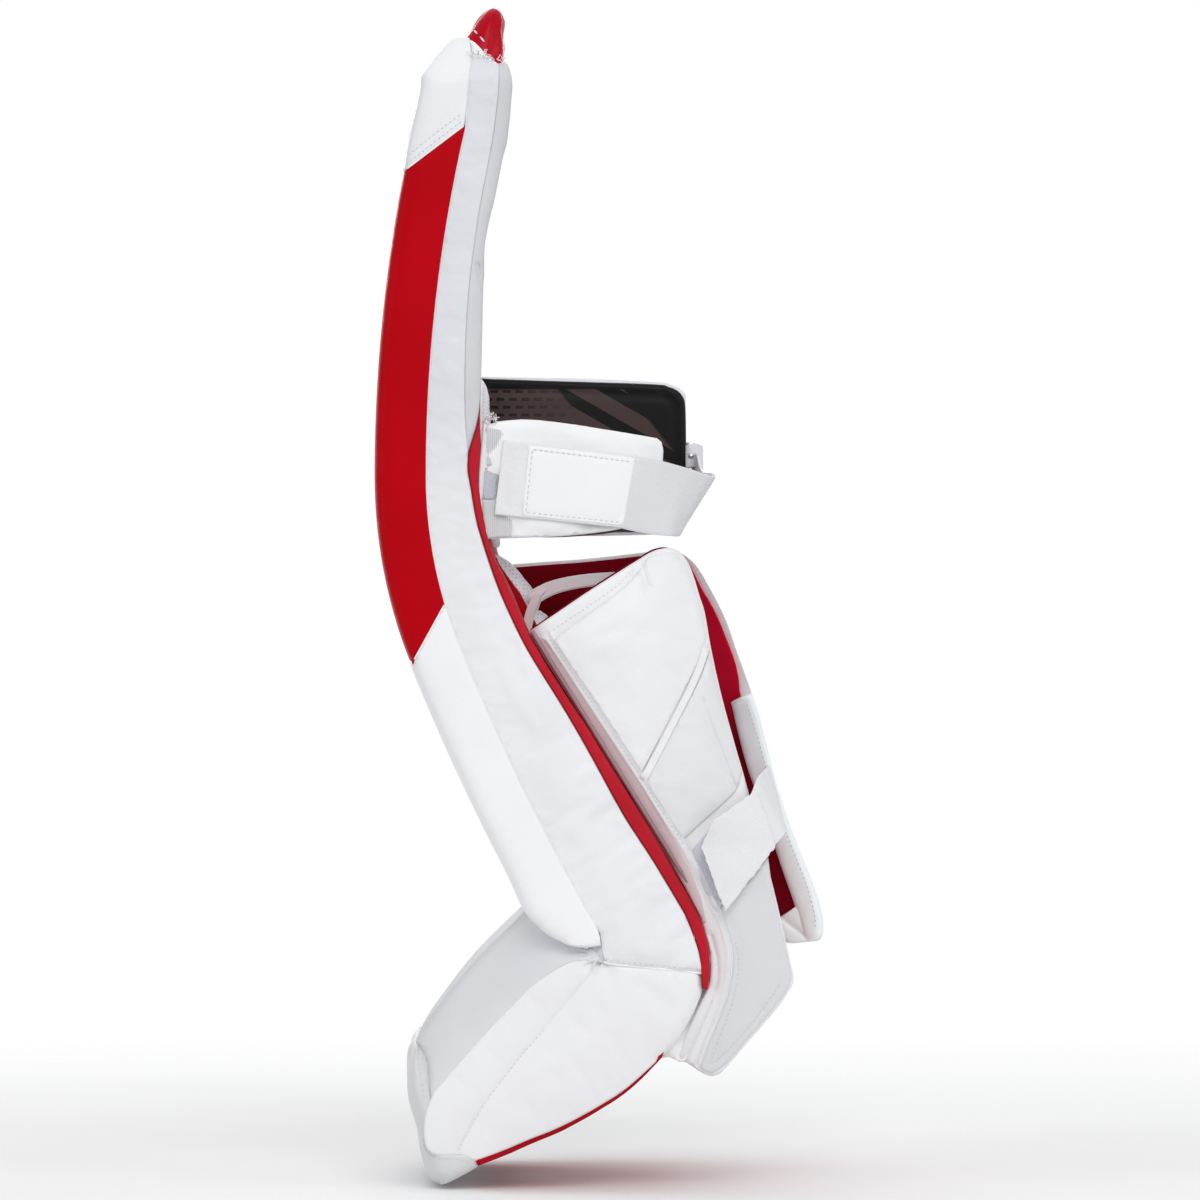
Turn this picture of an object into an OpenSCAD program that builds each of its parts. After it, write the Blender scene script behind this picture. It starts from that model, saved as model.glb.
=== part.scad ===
// Ice-hockey goalkeeper's leg pad, for the leg whose inner side lies towards +Y.
// The face of the pad looks towards -X and the leg lies behind it.
// The origin is in the leg's channel, where the calf goes in between the wings.

/* [Pad] */
// Width of the pad across the leg
pad_w = 280; // [250:1:300]
// Thickness of the padded front layer
face_t = 38; // [32:1:44]
// Depth of the side walls at the thigh and the knee
wall_knee = 33; // [28:1:40]
// Depth of the side walls at the ankle
wall_ankle = 63; // [52:1:72]
// Thickness of each side wall
side_t = 14; // [10:1:18]
// Thickness of the quilted back at the thigh and the knee
back_knee = 4; // [3:0.5:6]
// Thickness of the quilted back at the ankle
back_ankle = 11; // [8:0.5:13]
// Thickness of the stiffener boards
board_t = 2.5; // [1.5:0.5:4]

/* [Profile] */
// Distance from the channel's reference point to the front of the knee
knee_front = 168.5; // [155:0.5:180]
// Height of the foremost point of the knee
knee_z = 94; // [84:1:104]
// Radius of the thigh's curve, seen from the side
thigh_r = 1200; // [1000:10:1800]
// Radius of the knee's curve, seen from the side
knee_r = 380; // [340:5:440]
// Angle through which the knee's curve turns
knee_turn = 22; // [18:0.5:25]
// Radius of the shin's curve, seen from the side
shin_r = 1780; // [1500:10:2400]
// Length along the face from the knee's foremost point up to the top chamfer
thigh_len = 300; // [285:1:320]
// Length along the face from the knee's foremost point down to the boot's pivot
shin_len = 410; // [400:1:425]

/* [Thigh] */
// Length along the face from the knee's foremost point up to the thigh's break
break_up = 100; // [92:1:115]
// How far the thigh folds back at its break
thigh_fold = 7; // [4:0.5:9]
// Rise of the crown above the top chamfer
crown_rise = 33; // [24:1:40]
// How far the crown is set back from the face
crown_in = 14; // [8:1:18]
// Depth at which the crown ends behind the face
crown_out = 28; // [24:1:34]
// Length along the face up to the stripe's top edge at the front
stripe_top_front = 229; // [210:1:240]
// Length along the face up to the stripe's top edge at the back of the front layer
stripe_top_back = 273; // [255:1:285]
// Length along the face down to the stripe's bottom edge at the front
stripe_low_front = 146; // [130:1:160]
// Length along the face down to the stripe's bottom edge at the back of the front layer
stripe_low_back = 110; // [95:1:125]
// Bevel of the pad's top corners
top_corner = 22; // [14:1:30]
// Height of the cap on the inner top corner
cap_h = 46; // [36:1:52]
// Width of that cap
cap_w = 74; // [60:1:90]

/* [Boot] */
// Angle between the boot and the vertical
boot_rake = 36.5; // [32:0.5:40]
// Depth at which the boot's pivot lies behind the face
pivot_d = 30; // [26:1:34]
// How far the toe lifts before the boot's face meets the shin's face
toe_up = 5; // [3:0.5:7]
// How far the toe drops before the heel's gusset is stretched
toe_down = 6; // [4:0.5:8]
// How far the roll at the end of the shin's face stops short of the boot's pivot
roll_short = 14; // [10:1:20]
// Height of the heel above the boot's pivot
heel_rise = 30; // [24:1:34]
// Length of the boot from its pivot to the tip of the toe
boot_len = 214; // [200:1:230]
// How much the boot is set in from the pad's width on each side
boot_in = 5; // [2:0.5:10]
// How much the toe is set in from the pad's width on each side, where the toe cap starts
toe_in = 14; // [10:1:24]
// Depth of the boot behind its pivot, at the heel
heel_d = 79.5; // [70:0.5:88]
// Depth of the boot behind its pivot, at the toe
toe_d = 18; // [12:1:24]
// Height of the boot's crowned face in front of its pivot
crown_d = 80; // [72:1:88]
// Distance of the line where the crowned face meets the sides in front of the pivot, at the toe
root_d = 42; // [36:1:48]
// Width of the bevel along each side of the crowned face
crown_bevel = 45; // [36:1:54]
// Length of the toe cap
toe_cap_l = 52; // [44:1:60]
// Bevel of the toe's corners
toe_corner = 16; // [10:1:22]
// Thickness of the panel under the boot
sole_t = 4; // [3:0.5:6]
// Radius of the toe lace's eyelets
eyelet_r = 4.5; // [3:0.25:5.5]
// Distance between the toe lace's eyelets
eyelet_pitch = 60; // [50:1:70]

/* [Calf wings] */
// Length along the face down to the top of the wings' hinges
wing_s0 = 155; // [145:1:165]
// Length along the face down to the bottom of the wings' hinges
wing_s1 = 409; // [395:1:412]
// How far the wings' hinges lie in from the pad's edges
hinge_in = 6; // [4:0.5:9]
// Radius of the wings' curve round the calf
wing_r = 260; // [220:5:320]
// Thickness of a wing's foam
wing_pad_t = 9; // [7:0.5:12]
// Thickness of a wing's lining
lining_t = 3; // [2:0.5:4]
// Thickness of the raised panels on the outer wing
panel_t = 5; // [3:0.5:6]
// Reach of the outer wing at its top
outer_reach = 131; // [120:1:140]
// Reach of the outer wing at its lower corner
outer_tail = 38; // [30:1:46]
// Length of the outer wing down to its lower corner
outer_len = 327; // [315:1:340]
// How far the outer wing's skirt reaches below that corner
skirt_drop = 31; // [24:1:36]
// How far the outer wing's skirt reaches forward
skirt_fwd = 56; // [46:1:58]
// Rise of the inner wing's top edge beside the pad
inner_rise = 50; // [40:1:54]
// Reach of the inner wing at its top
inner_reach = 134; // [126:1:142]
// Reach of the inner wing where its rolled edge bends
inner_mid = 120; // [112:1:126]
// Distance down the inner wing to that bend
inner_bend = 136; // [126:1:146]
// Reach of the inner wing at its lower corner
inner_tail = 69; // [60:1:78]
// Length of the inner wing
inner_len = 327; // [310:1:340]
// Width of the rolled edge on the inner wing
binding_w = 15; // [10:1:20]
// Distance down the inner wing to the top of its rolled edge
binding_top = 98; // [90:1:110]
// Radius of the welts that the wings and the knee wrap turn on
welt_r = 2.5; // [2:0.25:3]

/* [Straps] */
// Thickness of the straps
strap_t = 3; // [2:0.25:4]
// Width of the calf strap
calf_strap_w = 50; // [42:1:54]
// Distance along the wing to the middle of the calf strap
calf_strap_z = 221; // [214:1:228]
// Fall of the calf strap across the wing, as a slope
calf_strap_fall = 0.3; // [0.2:0.02:0.36]
// Radius at which a strap turns round the edge of a wing or wrap
strap_bend = 12; // [10:1:16]
// Length of the calf strap's tab
calf_tab_l = 46; // [36:1:52]
// Width of the knee strap
knee_strap_w = 54; // [46:1:58]
// Length of the knee strap's tab
knee_tab_l = 96; // [80:1:102]
// Rise of the knee strap's inner end above its outer part
knee_strap_rise = 32; // [24:1:38]

/* [Knee] */
// Length of the knee block behind the pad
block_len = 160; // [146:1:166]
// Top of the knee block above the knee's foremost point
block_up = 82; // [74:1:84]
// Bottom of the knee block below the knee's foremost point
block_down = 42; // [36:1:44]
// Thickness of the knee block
block_t = 44; // [36:1:50]
// Thickness of the knee block's liner
liner_t = 5; // [3:0.5:7]
// Thickness of the knee block's landing cover
landing_t = 6; // [4:0.5:8]
// Rounding of the knee block's corners
block_round = 14; // [8:1:18]
// Reach of the knee wrap
wrap_reach = 128; // [118:1:134]
// Height of the knee wrap above the knee's foremost point
wrap_up = 41; // [36:1:44]
// Depth of the knee wrap below the knee's foremost point
wrap_down = 47; // [42:1:48]
// Thickness of the knee wrap's foam
wrap_t = 6; // [4:0.5:8]

/* [Channel] */
// Width of the shin cushion
shin_cushion_w = 172; // [150:1:180]
// Crown of the shin cushion
shin_crown = 17; // [12:1:20]
// Length along the face down to the top of the shin cushion
shin_cushion_top = 78; // [76:1:90]
// How far the shin cushion stops short of the boot's pivot
shin_cushion_short = 20; // [12:1:40]
// Width of the knee cushion
knee_cushion_w = 170; // [150:1:174]
// Crown of the knee cushion
knee_crown = 15; // [10:1:18]
// Length along the face down to the bottom of the knee cushion
knee_cushion_low = 72; // [60:1:74]
// Height of a cushion's sewn edge
cushion_edge = 4; // [3:0.5:6]
// Depth of a cushion's sewn channels
channel_d = 3; // [2:0.5:4]
// Width of the calf sling's elastic
sling_w = 13; // [10:1:18]
// Half of the calf sling's width across the leg
sling_half = 97; // [92:1:100]
// How far back the calf sling reaches
sling_reach = 92; // [80:1:98]

/* [Clearance] */
// Glue or sewing line between pieces that are joined
glue = 0.3; // [0.2:0.05:0.5]
// Gap between pieces that move past each other
move_gap = 0.5; // [0.4:0.05:0.8]

/* [Hidden] */
$fn = 48;

white = [0.93, 0.93, 0.94];
red = [0.72, 0.01, 0.06];
black = [0.06, 0.06, 0.06];
foam_grey = [0.55, 0.56, 0.58];
elastic_grey = [0.82, 0.82, 0.85];
steel = [0.6, 0.6, 0.62];

deg = 180 / PI;
far = 2 * pad_w;

// Length of one chord where a curve is drawn with straight stretches
chord = 14;

// The pad's profile: s runs along the face, down from the knee's foremost point, and d runs back from the face

knee_len = knee_r * knee_turn / deg;
knee_tip = [-knee_front, knee_z];
knee_end = knee_tip + knee_r * [1 - cos(knee_turn), -sin(knee_turn)];

function lean(s) =
    s < 0 ? s / thigh_r * deg
    : s < knee_len ? s / knee_r * deg
    : knee_turn + (s - knee_len) / shin_r * deg;

function face_point(s) =
    let (a = lean(s))
    s < 0 ? knee_tip + thigh_r * [1 - cos(a), -sin(a)]
    : s < knee_len ? knee_tip + knee_r * [1 - cos(a), -sin(a)]
    : knee_end + shin_r * [cos(knee_turn) - cos(a), sin(knee_turn) - sin(a)];

function at(s, d) = face_point(s) + d * [cos(lean(s)), sin(lean(s))];

// Share of the way from the knee to the boot, 0 above the knee
function way_down(s) = max(0, s) / shin_len;

function wall_d(s) = face_t + wall_knee + (wall_ankle - wall_knee) * way_down(s);

function back_d(s) = wall_d(s) + glue + back_knee + (back_ankle - back_knee) * way_down(s);

skin = function (s) 0;
face_back = function (s) face_t;
core_front = function (s) face_t + glue;
core_back = function (s) wall_d(s) - board_t - glue;
board_front = function (s) wall_d(s) - board_t;
wall_back = function (s) wall_d(s);
back_front = function (s) wall_d(s) + glue;
back_skin = function (s) back_d(s);

// Points at depth d(s), from s0 to s1
function edge(s0, s1, d) =
    let (n = ceil(abs(s1 - s0) / chord))
    [for (i = [0:n]) let (s = s0 + (s1 - s0) * i / n) at(s, d(s))];

// Layer between two depths, whose ends may slant
function strip(front0, front1, front_depth, back0, back1, back_depth) =
    concat(edge(front0, front1, front_depth), edge(back1, back0, back_depth));

// Smooth curve through points, with n chords in each stretch
function smooth(p, n) =
    let (last = len(p) - 1)
    concat(
        [for (i = [0:last - 1])
            let (a = p[max(i - 1, 0)], b = p[i], c = p[i + 1], d = p[min(i + 2, last)])
            for (k = [0:n - 1])
                let (t = k / n)
                (2 * b + (c - a) * t + (2 * a - 5 * b + 4 * c - d) * t ^ 2 + (3 * b - a - 3 * c + d) * t ^ 3) / 2],
        [p[last]]
    );

// Rectangle with rounded corners
function round_rect(x0, x1, z0, z1, r) =
    [for (c = [[x1 - r, z1 - r, 0], [x0 + r, z1 - r, 90], [x0 + r, z0 + r, 180], [x1 - r, z0 + r, 270]])
        for (k = [0:5]) let (a = c[2] + 18 * k) [c[0] + r * cos(a), c[1] + r * sin(a)]];

// Outline of a band of thickness t with a path as its middle
function band(path, t) =
    let (
        last = len(path) - 1,
        out = [for (i = [0:last])
            let (
                dir = path[min(i + 1, last)] - path[max(i - 1, 0)],
                unit = dir / norm(dir)
            ) [-unit[1], unit[0]] * t / 2]
    )
    concat([for (i = [0:last]) path[i] + out[i]], [for (i = [last:-1:0]) path[i] - out[i]]);

// Side outline carried across from y0 to y1
module slab(outline, y0, y1) {
    translate([0, y1, 0]) rotate([90, 0, 0]) linear_extrude(y1 - y0) polygon(outline);
}

// Outline in x and y carried up from z0 to z1
module column(outline, z0, z1) {
    translate([0, 0, z0]) linear_extrude(z1 - z0) polygon(outline);
}

// Outline in y and z carried along x, wide enough to cut anything
module cutter(outline) {
    translate([-far, 0, 0]) rotate([90, 0, 90]) linear_extrude(2 * far) polygon(outline);
}

pad_half = pad_w / 2;
core_half = pad_half - side_t - glue;
panel_half = pad_half - side_t / 4;

// Shin and knee

// The roll at the end of the shin's face stops where the lifted boot meets it
roll_end_front = shin_len - pivot_d * tan(boot_rake + lean(shin_len));
roll_end_back = shin_len - roll_short;
heel_slant = tan(boot_rake - toe_down);
wall_end_front = shin_len + 2;

function shin_layer(front_depth, back_depth) =
    let (
        low_front = wall_end_front + (front_depth(shin_len) - face_t) * heel_slant,
        low_back = wall_end_front + (back_depth(shin_len) - face_t) * heel_slant
    )
    strip(-break_up, low_front, front_depth, -break_up, low_back, back_depth);

module shin_core() {
    pivot_corner = at(shin_len - glue, pivot_d);
    layer = concat(
        edge(-break_up, roll_end_back, core_front),
        [pivot_corner],
        edge(wall_end_front + (wall_ankle - board_t) * heel_slant, -break_up, core_back)
    );
    color(foam_grey) slab(layer, -core_half, core_half);
}

module shin_board() {
    color(black) slab(shin_layer(board_front, wall_back), -core_half, core_half);
}

module knee_stripe() {
    layer = strip(-break_up, stripe_low_front, skin, -break_up, stripe_low_back, face_back);
    color(red) slab(layer, -pad_half, pad_half);
}

module shin_face() {
    layer = strip(
        stripe_low_front + glue, roll_end_front, skin,
        stripe_low_back + glue, roll_end_back, face_back
    );
    color(white) slab(layer, -pad_half, pad_half);
}

module sidewall(side) {
    layer = shin_layer(core_front, wall_back);
    y0 = side < 0 ? -pad_half : pad_half - side_t;
    color(white) slab(layer, y0, y0 + side_t);
}

module outer_sidewall() {
    sidewall(-1);
}

module inner_sidewall() {
    sidewall(1);
}

module back_panel() {
    color(red) slab(shin_layer(back_front, back_skin), -panel_half, panel_half);
}

// Thigh

// Lower end of the thigh at a depth, slanted to leave room for the fold
function thigh_end(d) = -(break_up + move_gap + d * tan(thigh_fold + 1));

wall_top = -(thigh_len + crown_rise / 3);
crown_z = at(-(thigh_len + crown_rise), crown_out)[1];

module thigh_outline() {
    cutter([
        [-pad_half, 0], [pad_half, 0], [pad_half, crown_z - top_corner], [pad_half - top_corner, crown_z],
        [top_corner - pad_half, crown_z], [-pad_half, crown_z - top_corner]
    ]);
}

module thigh_slab(layer, y0, y1) {
    intersection() {
        slab(layer, y0, y1);
        thigh_outline();
    }
}

function thigh_layer(front_depth, back_depth) =
    strip(
        wall_top, thigh_end(front_depth(0)), front_depth,
        wall_top, thigh_end(back_depth(0)), back_depth
    );

module thigh_core() {
    color(foam_grey) thigh_slab(thigh_layer(core_front, core_back), -core_half, core_half);
}

module thigh_board() {
    color(black) thigh_slab(thigh_layer(board_front, wall_back), -core_half, core_half);
}

module thigh_face() {
    layer = concat(
        edge(-thigh_len, -(stripe_top_front + glue), skin),
        edge(-(stripe_top_back + glue), -(thigh_len - 10), face_back),
        [at(-(thigh_len + crown_rise), crown_out), at(-(thigh_len + crown_rise), crown_in)]
    );
    color(white) thigh_slab(layer, -pad_half, pad_half);
}

module thigh_stripe() {
    layer = strip(-stripe_top_front, thigh_end(0), skin, -stripe_top_back, thigh_end(face_t), face_back);
    color(red) thigh_slab(layer, -pad_half, pad_half);
}

module thigh_sidewall(side) {
    y0 = side < 0 ? -pad_half : pad_half - side_t;
    color(white) thigh_slab(thigh_layer(core_front, wall_back), y0, y0 + side_t);
}

module thigh_outer_sidewall() {
    thigh_sidewall(-1);
}

module thigh_inner_sidewall() {
    thigh_sidewall(1);
}

module thigh_back_panel() {
    color(white) thigh_slab(thigh_layer(back_front, back_skin), -panel_half, panel_half);
}

module thigh_top_cap() {
    seat = -(thigh_len + crown_rise + glue);
    tip = seat - cap_h;
    outline = [
        at(seat, crown_in + 2), at(seat, crown_out + glue), at(wall_top - glue, crown_out + side_t / 2),
        at(wall_top - glue, wall_d(0) - side_t), at(seat - cap_h / 2, crown_out + side_t),
        at(tip + 4, crown_out + 8), at(tip, crown_out), at(tip + 6, crown_in + 8)
    ];
    color(red) slab(outline, pad_half - top_corner - cap_w, pad_half - top_corner);
}

// Boot, in a frame at its pivot with z up along the boot and x towards its sole

boot_pivot = at(shin_len, pivot_d);

module boot_frame() {
    translate([boot_pivot[0], 0, boot_pivot[1]]) rotate([0, boot_rake, 0]) children();
}

boot_half = pad_half - boot_in;
toe_half = pad_half - toe_in;
toe_z = toe_cap_l - boot_len;

// Underside of the boot, from the back of the heel to the toe
sole_line = smooth([
    [0.9 * heel_d, heel_rise], [heel_d, -0.09 * boot_len], [0.95 * heel_d, -0.34 * boot_len],
    [0.72 * heel_d, -0.547 * boot_len], [toe_d, -0.855 * boot_len]
], 5);

// Line where the crowned face meets the sides, from the pivot to the toe cap
face_root = smooth([
    [0, 0], [-0.52 * root_d, -0.093 * boot_len], [-0.76 * root_d, -0.243 * boot_len],
    [-0.9 * root_d, -0.495 * boot_len], [-root_d, toe_z]
], 4);

// Crowned face, from the crease to the toe cap
crease_d = 0.9 * crown_d;
face_crown = smooth([
    [-crease_d, -crease_d * tan(toe_up + 1)], [-0.975 * crown_d, -0.243 * boot_len],
    [-crown_d, -0.505 * boot_len], [-0.925 * crown_d, -0.654 * boot_len], [-0.8 * crown_d, toe_z]
], 4);

function moved(line, by) = [for (p = line) p + by];

function reversed(line) = [for (i = [len(line) - 1:-1:0]) line[i]];

module boot_outline() {
    cutter([
        [-boot_half, boot_len], [boot_half, boot_len], [boot_half, -boot_len / 3], [toe_half, toe_z],
        [toe_half - toe_corner, -boot_len], [toe_corner - toe_half, -boot_len], [-toe_half, toe_z],
        [-boot_half, -boot_len / 3]
    ]);
}

module boot_slab(outline, y0, y1) {
    boot_frame() intersection() {
        slab(outline, y0, y1);
        boot_outline();
    }
}

inner_sole = moved(sole_line, [-sole_t - 2 * glue, 0]);
inner_sole_x = [for (p = inner_sole) [p[1], p[0]]];
boot_side = concat(
    face_root,
    [[lookup(toe_z, inner_sole_x), toe_z]],
    reversed([for (p = inner_sole) if (p[1] > toe_z + glue) p])
);
boot_gusset_y = toe_half - side_t;

module boot_core() {
    color(foam_grey) boot_slab(boot_side, glue - boot_gusset_y, boot_gusset_y - glue);
}

module boot_gusset(side) {
    y0 = side < 0 ? -boot_half : boot_gusset_y;
    color(white) boot_slab(boot_side, y0, y0 + boot_half - boot_gusset_y);
}

module boot_outer_gusset() {
    boot_gusset(-1);
}

module boot_inner_gusset() {
    boot_gusset(1);
}

module boot_face() {
    root = moved(face_root, [-glue, 0]);
    outline = concat(root, reversed(face_crown));
    flat = boot_half - crown_bevel;
    edge_d = root_d - 12;
    color(white) boot_frame() intersection() {
        slab(outline, -boot_half, boot_half);
        boot_outline();
        // The crown slopes down to the boot's sides
        column([
            [far, boot_half], [-edge_d, boot_half], [-crown_d - 1, flat],
            [-crown_d - 1, -flat], [-edge_d, -boot_half], [far, -boot_half]
        ], -far, far);
    }
}

module boot_sole_panel() {
    half = boot_half - sole_t;
    color(red) boot_slab(concat(sole_line, reversed(moved(sole_line, [-sole_t, 0]))), -half, half);
}

module toe_cap() {
    cap_z = toe_z - glue;
    tip = smooth([
        [-0.8 * crown_d, cap_z], [-0.575 * crown_d, 0.615 * toe_cap_l - boot_len],
        [-0.325 * crown_d, 0.29 * toe_cap_l - boot_len], [-0.1 * crown_d, 0.04 * toe_cap_l - boot_len],
        [0.025 * crown_d, -boot_len], [0.1 * crown_d, 0.115 * toe_cap_l - boot_len],
        inner_sole[len(inner_sole) - 1]
    ], 3);
    outline = concat(
        tip,
        reversed([for (p = inner_sole) if (p[1] < cap_z) p]),
        [[lookup(cap_z, inner_sole_x), cap_z]]
    );
    color(white) boot_slab(outline, -boot_half, boot_half);
}

// Bridge under the toe, with a gap behind it for the toe lace

bridge_gap = 4;
bridge_t = 5;
bridge_half = eyelet_pitch / 2 + 18;
bridge_len = 30;
foot_w = 8;
flange_r = eyelet_r + 4;
tube_r = eyelet_r + 1.5;
bridge_a = sole_line[len(sole_line) - 1];
bridge_b = sole_line[len(sole_line) - 6];
bridge_tilt = atan2(bridge_b[0] - bridge_a[0], bridge_b[1] - bridge_a[1]);
bridge_mid = (bridge_a + bridge_b) / 2;
bridge_seat = [for (i = [len(sole_line) - 6:len(sole_line) - 1]) sole_line[i] - bridge_mid];
// How far the curved sole stands out under the bridge
sole_sag = max([for (p = bridge_seat) p[0] * cos(bridge_tilt) - p[1] * sin(bridge_tilt)]) + glue;

module bridge_frame() {
    boot_frame() translate([bridge_mid[0] + sole_sag, 0, bridge_mid[1]]) rotate([0, bridge_tilt, 0]) children();
}

module eyelet_places() {
    for (side = [-1, 1])
        translate([bridge_gap, side * eyelet_pitch / 2, 0]) rotate([0, 90, 0]) children();
}

module toe_bridge() {
    color(black) bridge_frame() difference() {
        union() {
            translate([bridge_gap, -bridge_half, -bridge_len / 2]) cube([bridge_t, 2 * bridge_half, bridge_len]);
            for (side = [-1, 1])
                translate([0, side * (bridge_half - foot_w / 2) - foot_w / 2, -bridge_len / 2])
                    cube([bridge_gap + bridge_t, foot_w, bridge_len]);
        }
        eyelet_places() translate([0, 0, -1]) cylinder(r = tube_r + 0.1, h = bridge_t + 2);
    }
}

module toe_eyelets() {
    color(steel) bridge_frame() eyelet_places() difference() {
        union() {
            cylinder(r = tube_r, h = bridge_t + glue);
            translate([0, 0, bridge_t + glue]) cylinder(r = flange_r, h = 1.2);
        }
        translate([0, 0, -1]) cylinder(r = eyelet_r, h = bridge_t + 4);
    }
}

// Calf wings, in a frame at the top of their hinge with z up along it and x back from the pad

hinge_y = pad_half - hinge_in;
hinge_lift = welt_r + glue;
wing_top = at(wing_s0, back_d(wing_s0) + hinge_lift);
wing_low = at(wing_s1, back_d(wing_s1) + hinge_lift);
wing_tilt = atan2(wing_top[0] - wing_low[0], wing_top[1] - wing_low[1]);
hinge_len = norm(wing_low - wing_top);
hinge_edge = welt_r + move_gap;

module wing_frame() {
    translate([wing_top[0], 0, wing_top[1]]) rotate([0, wing_tilt, 0]) children();
}

// Curved layer between two depths under the outer surface of a wing, cut to a side outline
module curved_layer(side, outline, t0, t1) {
    intersection() {
        translate([0, side * (hinge_y - wing_r), -far]) difference() {
            cylinder(r = wing_r - t0, h = 2 * far, $fn = 96);
            translate([0, 0, -1]) cylinder(r = wing_r - t1, h = 2 * far + 2, $fn = 96);
        }
        slab(outline, side < 0 ? -far : 0, side < 0 ? 0 : far);
    }
}

board_depth = wing_pad_t + glue;
lining_depth = board_depth + board_t + glue;
wing_t = lining_depth + lining_t;

outer_wing_outline = [
    [hinge_edge, 0], [outer_reach - 22, 4], [outer_reach - 6, -3], [outer_reach, -16], [outer_tail, -outer_len],
    [outer_tail - 23, -(outer_len + 13)], [6 - skirt_fwd, -(outer_len + skirt_drop)],
    [-skirt_fwd, -(outer_len + skirt_drop / 2)], [-skirt_fwd / 2, -(outer_len - 14)],
    [hinge_edge - 1, -(hinge_len + 52)], [hinge_edge, -(hinge_len + 24)]
];
outer_board_outline = [
    [hinge_edge + 10, -14], [outer_reach - 18, -14], [outer_tail - 2, -(outer_len - 14)], [hinge_edge + 10, -hinge_len]
];
inner_wing_outline = [
    [hinge_edge, 0], [hinge_edge + inner_rise / 9, inner_rise], [inner_reach - 20, 3], [inner_reach - 3, -10], [inner_reach, -34], [inner_mid, -inner_bend],
    [inner_tail, -inner_len], [inner_tail - 9, -inner_len], [hinge_edge, -(hinge_len + 30)]
];
inner_board_outline = [
    [hinge_edge + 10, -14], [inner_reach - 16, -20], [inner_mid - 16, -inner_bend],
    [inner_tail - 14, -(inner_len - 24)], [hinge_edge + 10, -hinge_len]
];

module wing_welt(side) {
    color(red) wing_frame() translate([0, side * hinge_y, -hinge_len]) cylinder(r = welt_r, h = hinge_len);
}

module outer_wing_welt() {
    wing_welt(-1);
}

module inner_wing_welt() {
    wing_welt(1);
}

module outer_wing_pad() {
    color(white) wing_frame() curved_layer(-1, outer_wing_outline, 0, wing_pad_t);
}

module outer_wing_board() {
    color(black) wing_frame() curved_layer(-1, outer_board_outline, board_depth, board_depth + board_t);
}

module outer_wing_lining() {
    color(red) wing_frame() curved_layer(-1, outer_wing_outline, lining_depth, wing_t);
}

seam_top = [outer_reach - 18, -75];
seam_mid = [outer_reach - 48, -97];
seam_low = [16, -138];
panel_seam = 4;

module outer_wing_upper_panel() {
    outline = [
        [12, -8], [outer_reach - 25, -4], [outer_reach - 11, -16], seam_top + [1, panel_seam],
        seam_mid + [0, panel_seam], seam_low + [0, panel_seam]
    ];
    color(white) wing_frame() curved_layer(-1, outline, -panel_t, -glue);
}

module outer_wing_lower_panel() {
    foot_z = 6 - calf_strap_top;
    outline = [
        seam_top - [2, panel_seam], seam_mid - [0, panel_seam], seam_low - [0, panel_seam],
        [16, foot_z - 4], [outer_reach - 56, foot_z + 14]
    ];
    color(white) wing_frame() curved_layer(-1, outline, -panel_t, -glue);
}

module inner_wing_pad() {
    color(white) wing_frame() curved_layer(1, inner_wing_outline, 0, wing_pad_t);
}

module inner_wing_board() {
    color(black) wing_frame() curved_layer(1, inner_board_outline, board_depth, board_depth + board_t);
}

module inner_wing_lining() {
    color(red) wing_frame() curved_layer(1, inner_wing_outline, lining_depth, wing_t);
}

module inner_wing_binding() {
    top = [inner_mid + 5, -binding_top];
    outline = [
        top, [inner_mid, -inner_bend], [inner_tail, -inner_len], [inner_tail - 9, -inner_len],
        [inner_tail - binding_w, -(inner_len - 4)], [inner_mid - binding_w, -inner_bend], top - [binding_w, 0]
    ];
    color(white) wing_frame() curved_layer(1, outline, wing_t + glue, wing_t + glue + lining_t);
}

// Calf strap: sewn to the inner wing, taken round behind the calf, and fastened on the outer wing

patch_t = 1.2;
strap_lift = glue + patch_t + move_gap + strap_t / 2;
strap_path_r = wing_r + strap_lift;
calf_strap_start = 26;
// The strap turns just behind the outer wing's rear edge, at the strap's upper side
calf_strap_top = calf_strap_z - calf_strap_w / 2;
calf_strap_turn = 3 + lookup(-calf_strap_top, [[-outer_len, outer_tail], [-16, outer_reach]]);
hem_r = strap_t / 2 + 0.7;
// Behind the calf the strap runs level and narrows to a hem at the inner wing's rear edge
hem_top = calf_strap_fall * (calf_strap_turn - calf_strap_start) / 2 - calf_strap_top;
hem_w = calf_strap_w / 2;
calf_hook = [lookup(hem_top, [[-inner_len, inner_tail], [-inner_bend, inner_mid]]) + hem_r + 1.7, hinge_y - 32];

// Point of a path that runs outside a wing or wrap at radius r, at distance u back from its hinge
function outside(u, r = strap_path_r) = [u, wing_r - hinge_y - r * cos(asin(u / r))];

// Path along the outer surface from u0 to u1, round the edge and straight to a hook on the inner side
function strap_path(u0, u1, hook) =
    let (
        a1 = asin(u1 / strap_path_r),
        turn = outside(u1) + strap_bend * [-sin(a1), cos(a1)],
        to_hook = hook - turn,
        a2 = atan2(to_hook[1], to_hook[0]) + asin(strap_bend / norm(to_hook))
    )
    concat(
        [for (i = [0:5]) outside(u0 + (u1 - u0) * i / 5)],
        [for (i = [1:6]) let (a = a1 + (a2 - a1) * i / 6) turn + strap_bend * [sin(a), -cos(a)]],
        [hook]
    );

function calf_edge(u) = calf_strap_fall * (u - (calf_strap_start + calf_strap_turn) / 2) - calf_strap_z;

function calf_strap_outline(u0, u1) = [
    [u0, calf_edge(u0) - calf_strap_w / 2], [u1, calf_edge(u1) - calf_strap_w / 2],
    [u1, calf_edge(u1) + calf_strap_w / 2], [u0 + 10, calf_edge(u0) + calf_strap_w / 2]
];

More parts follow.
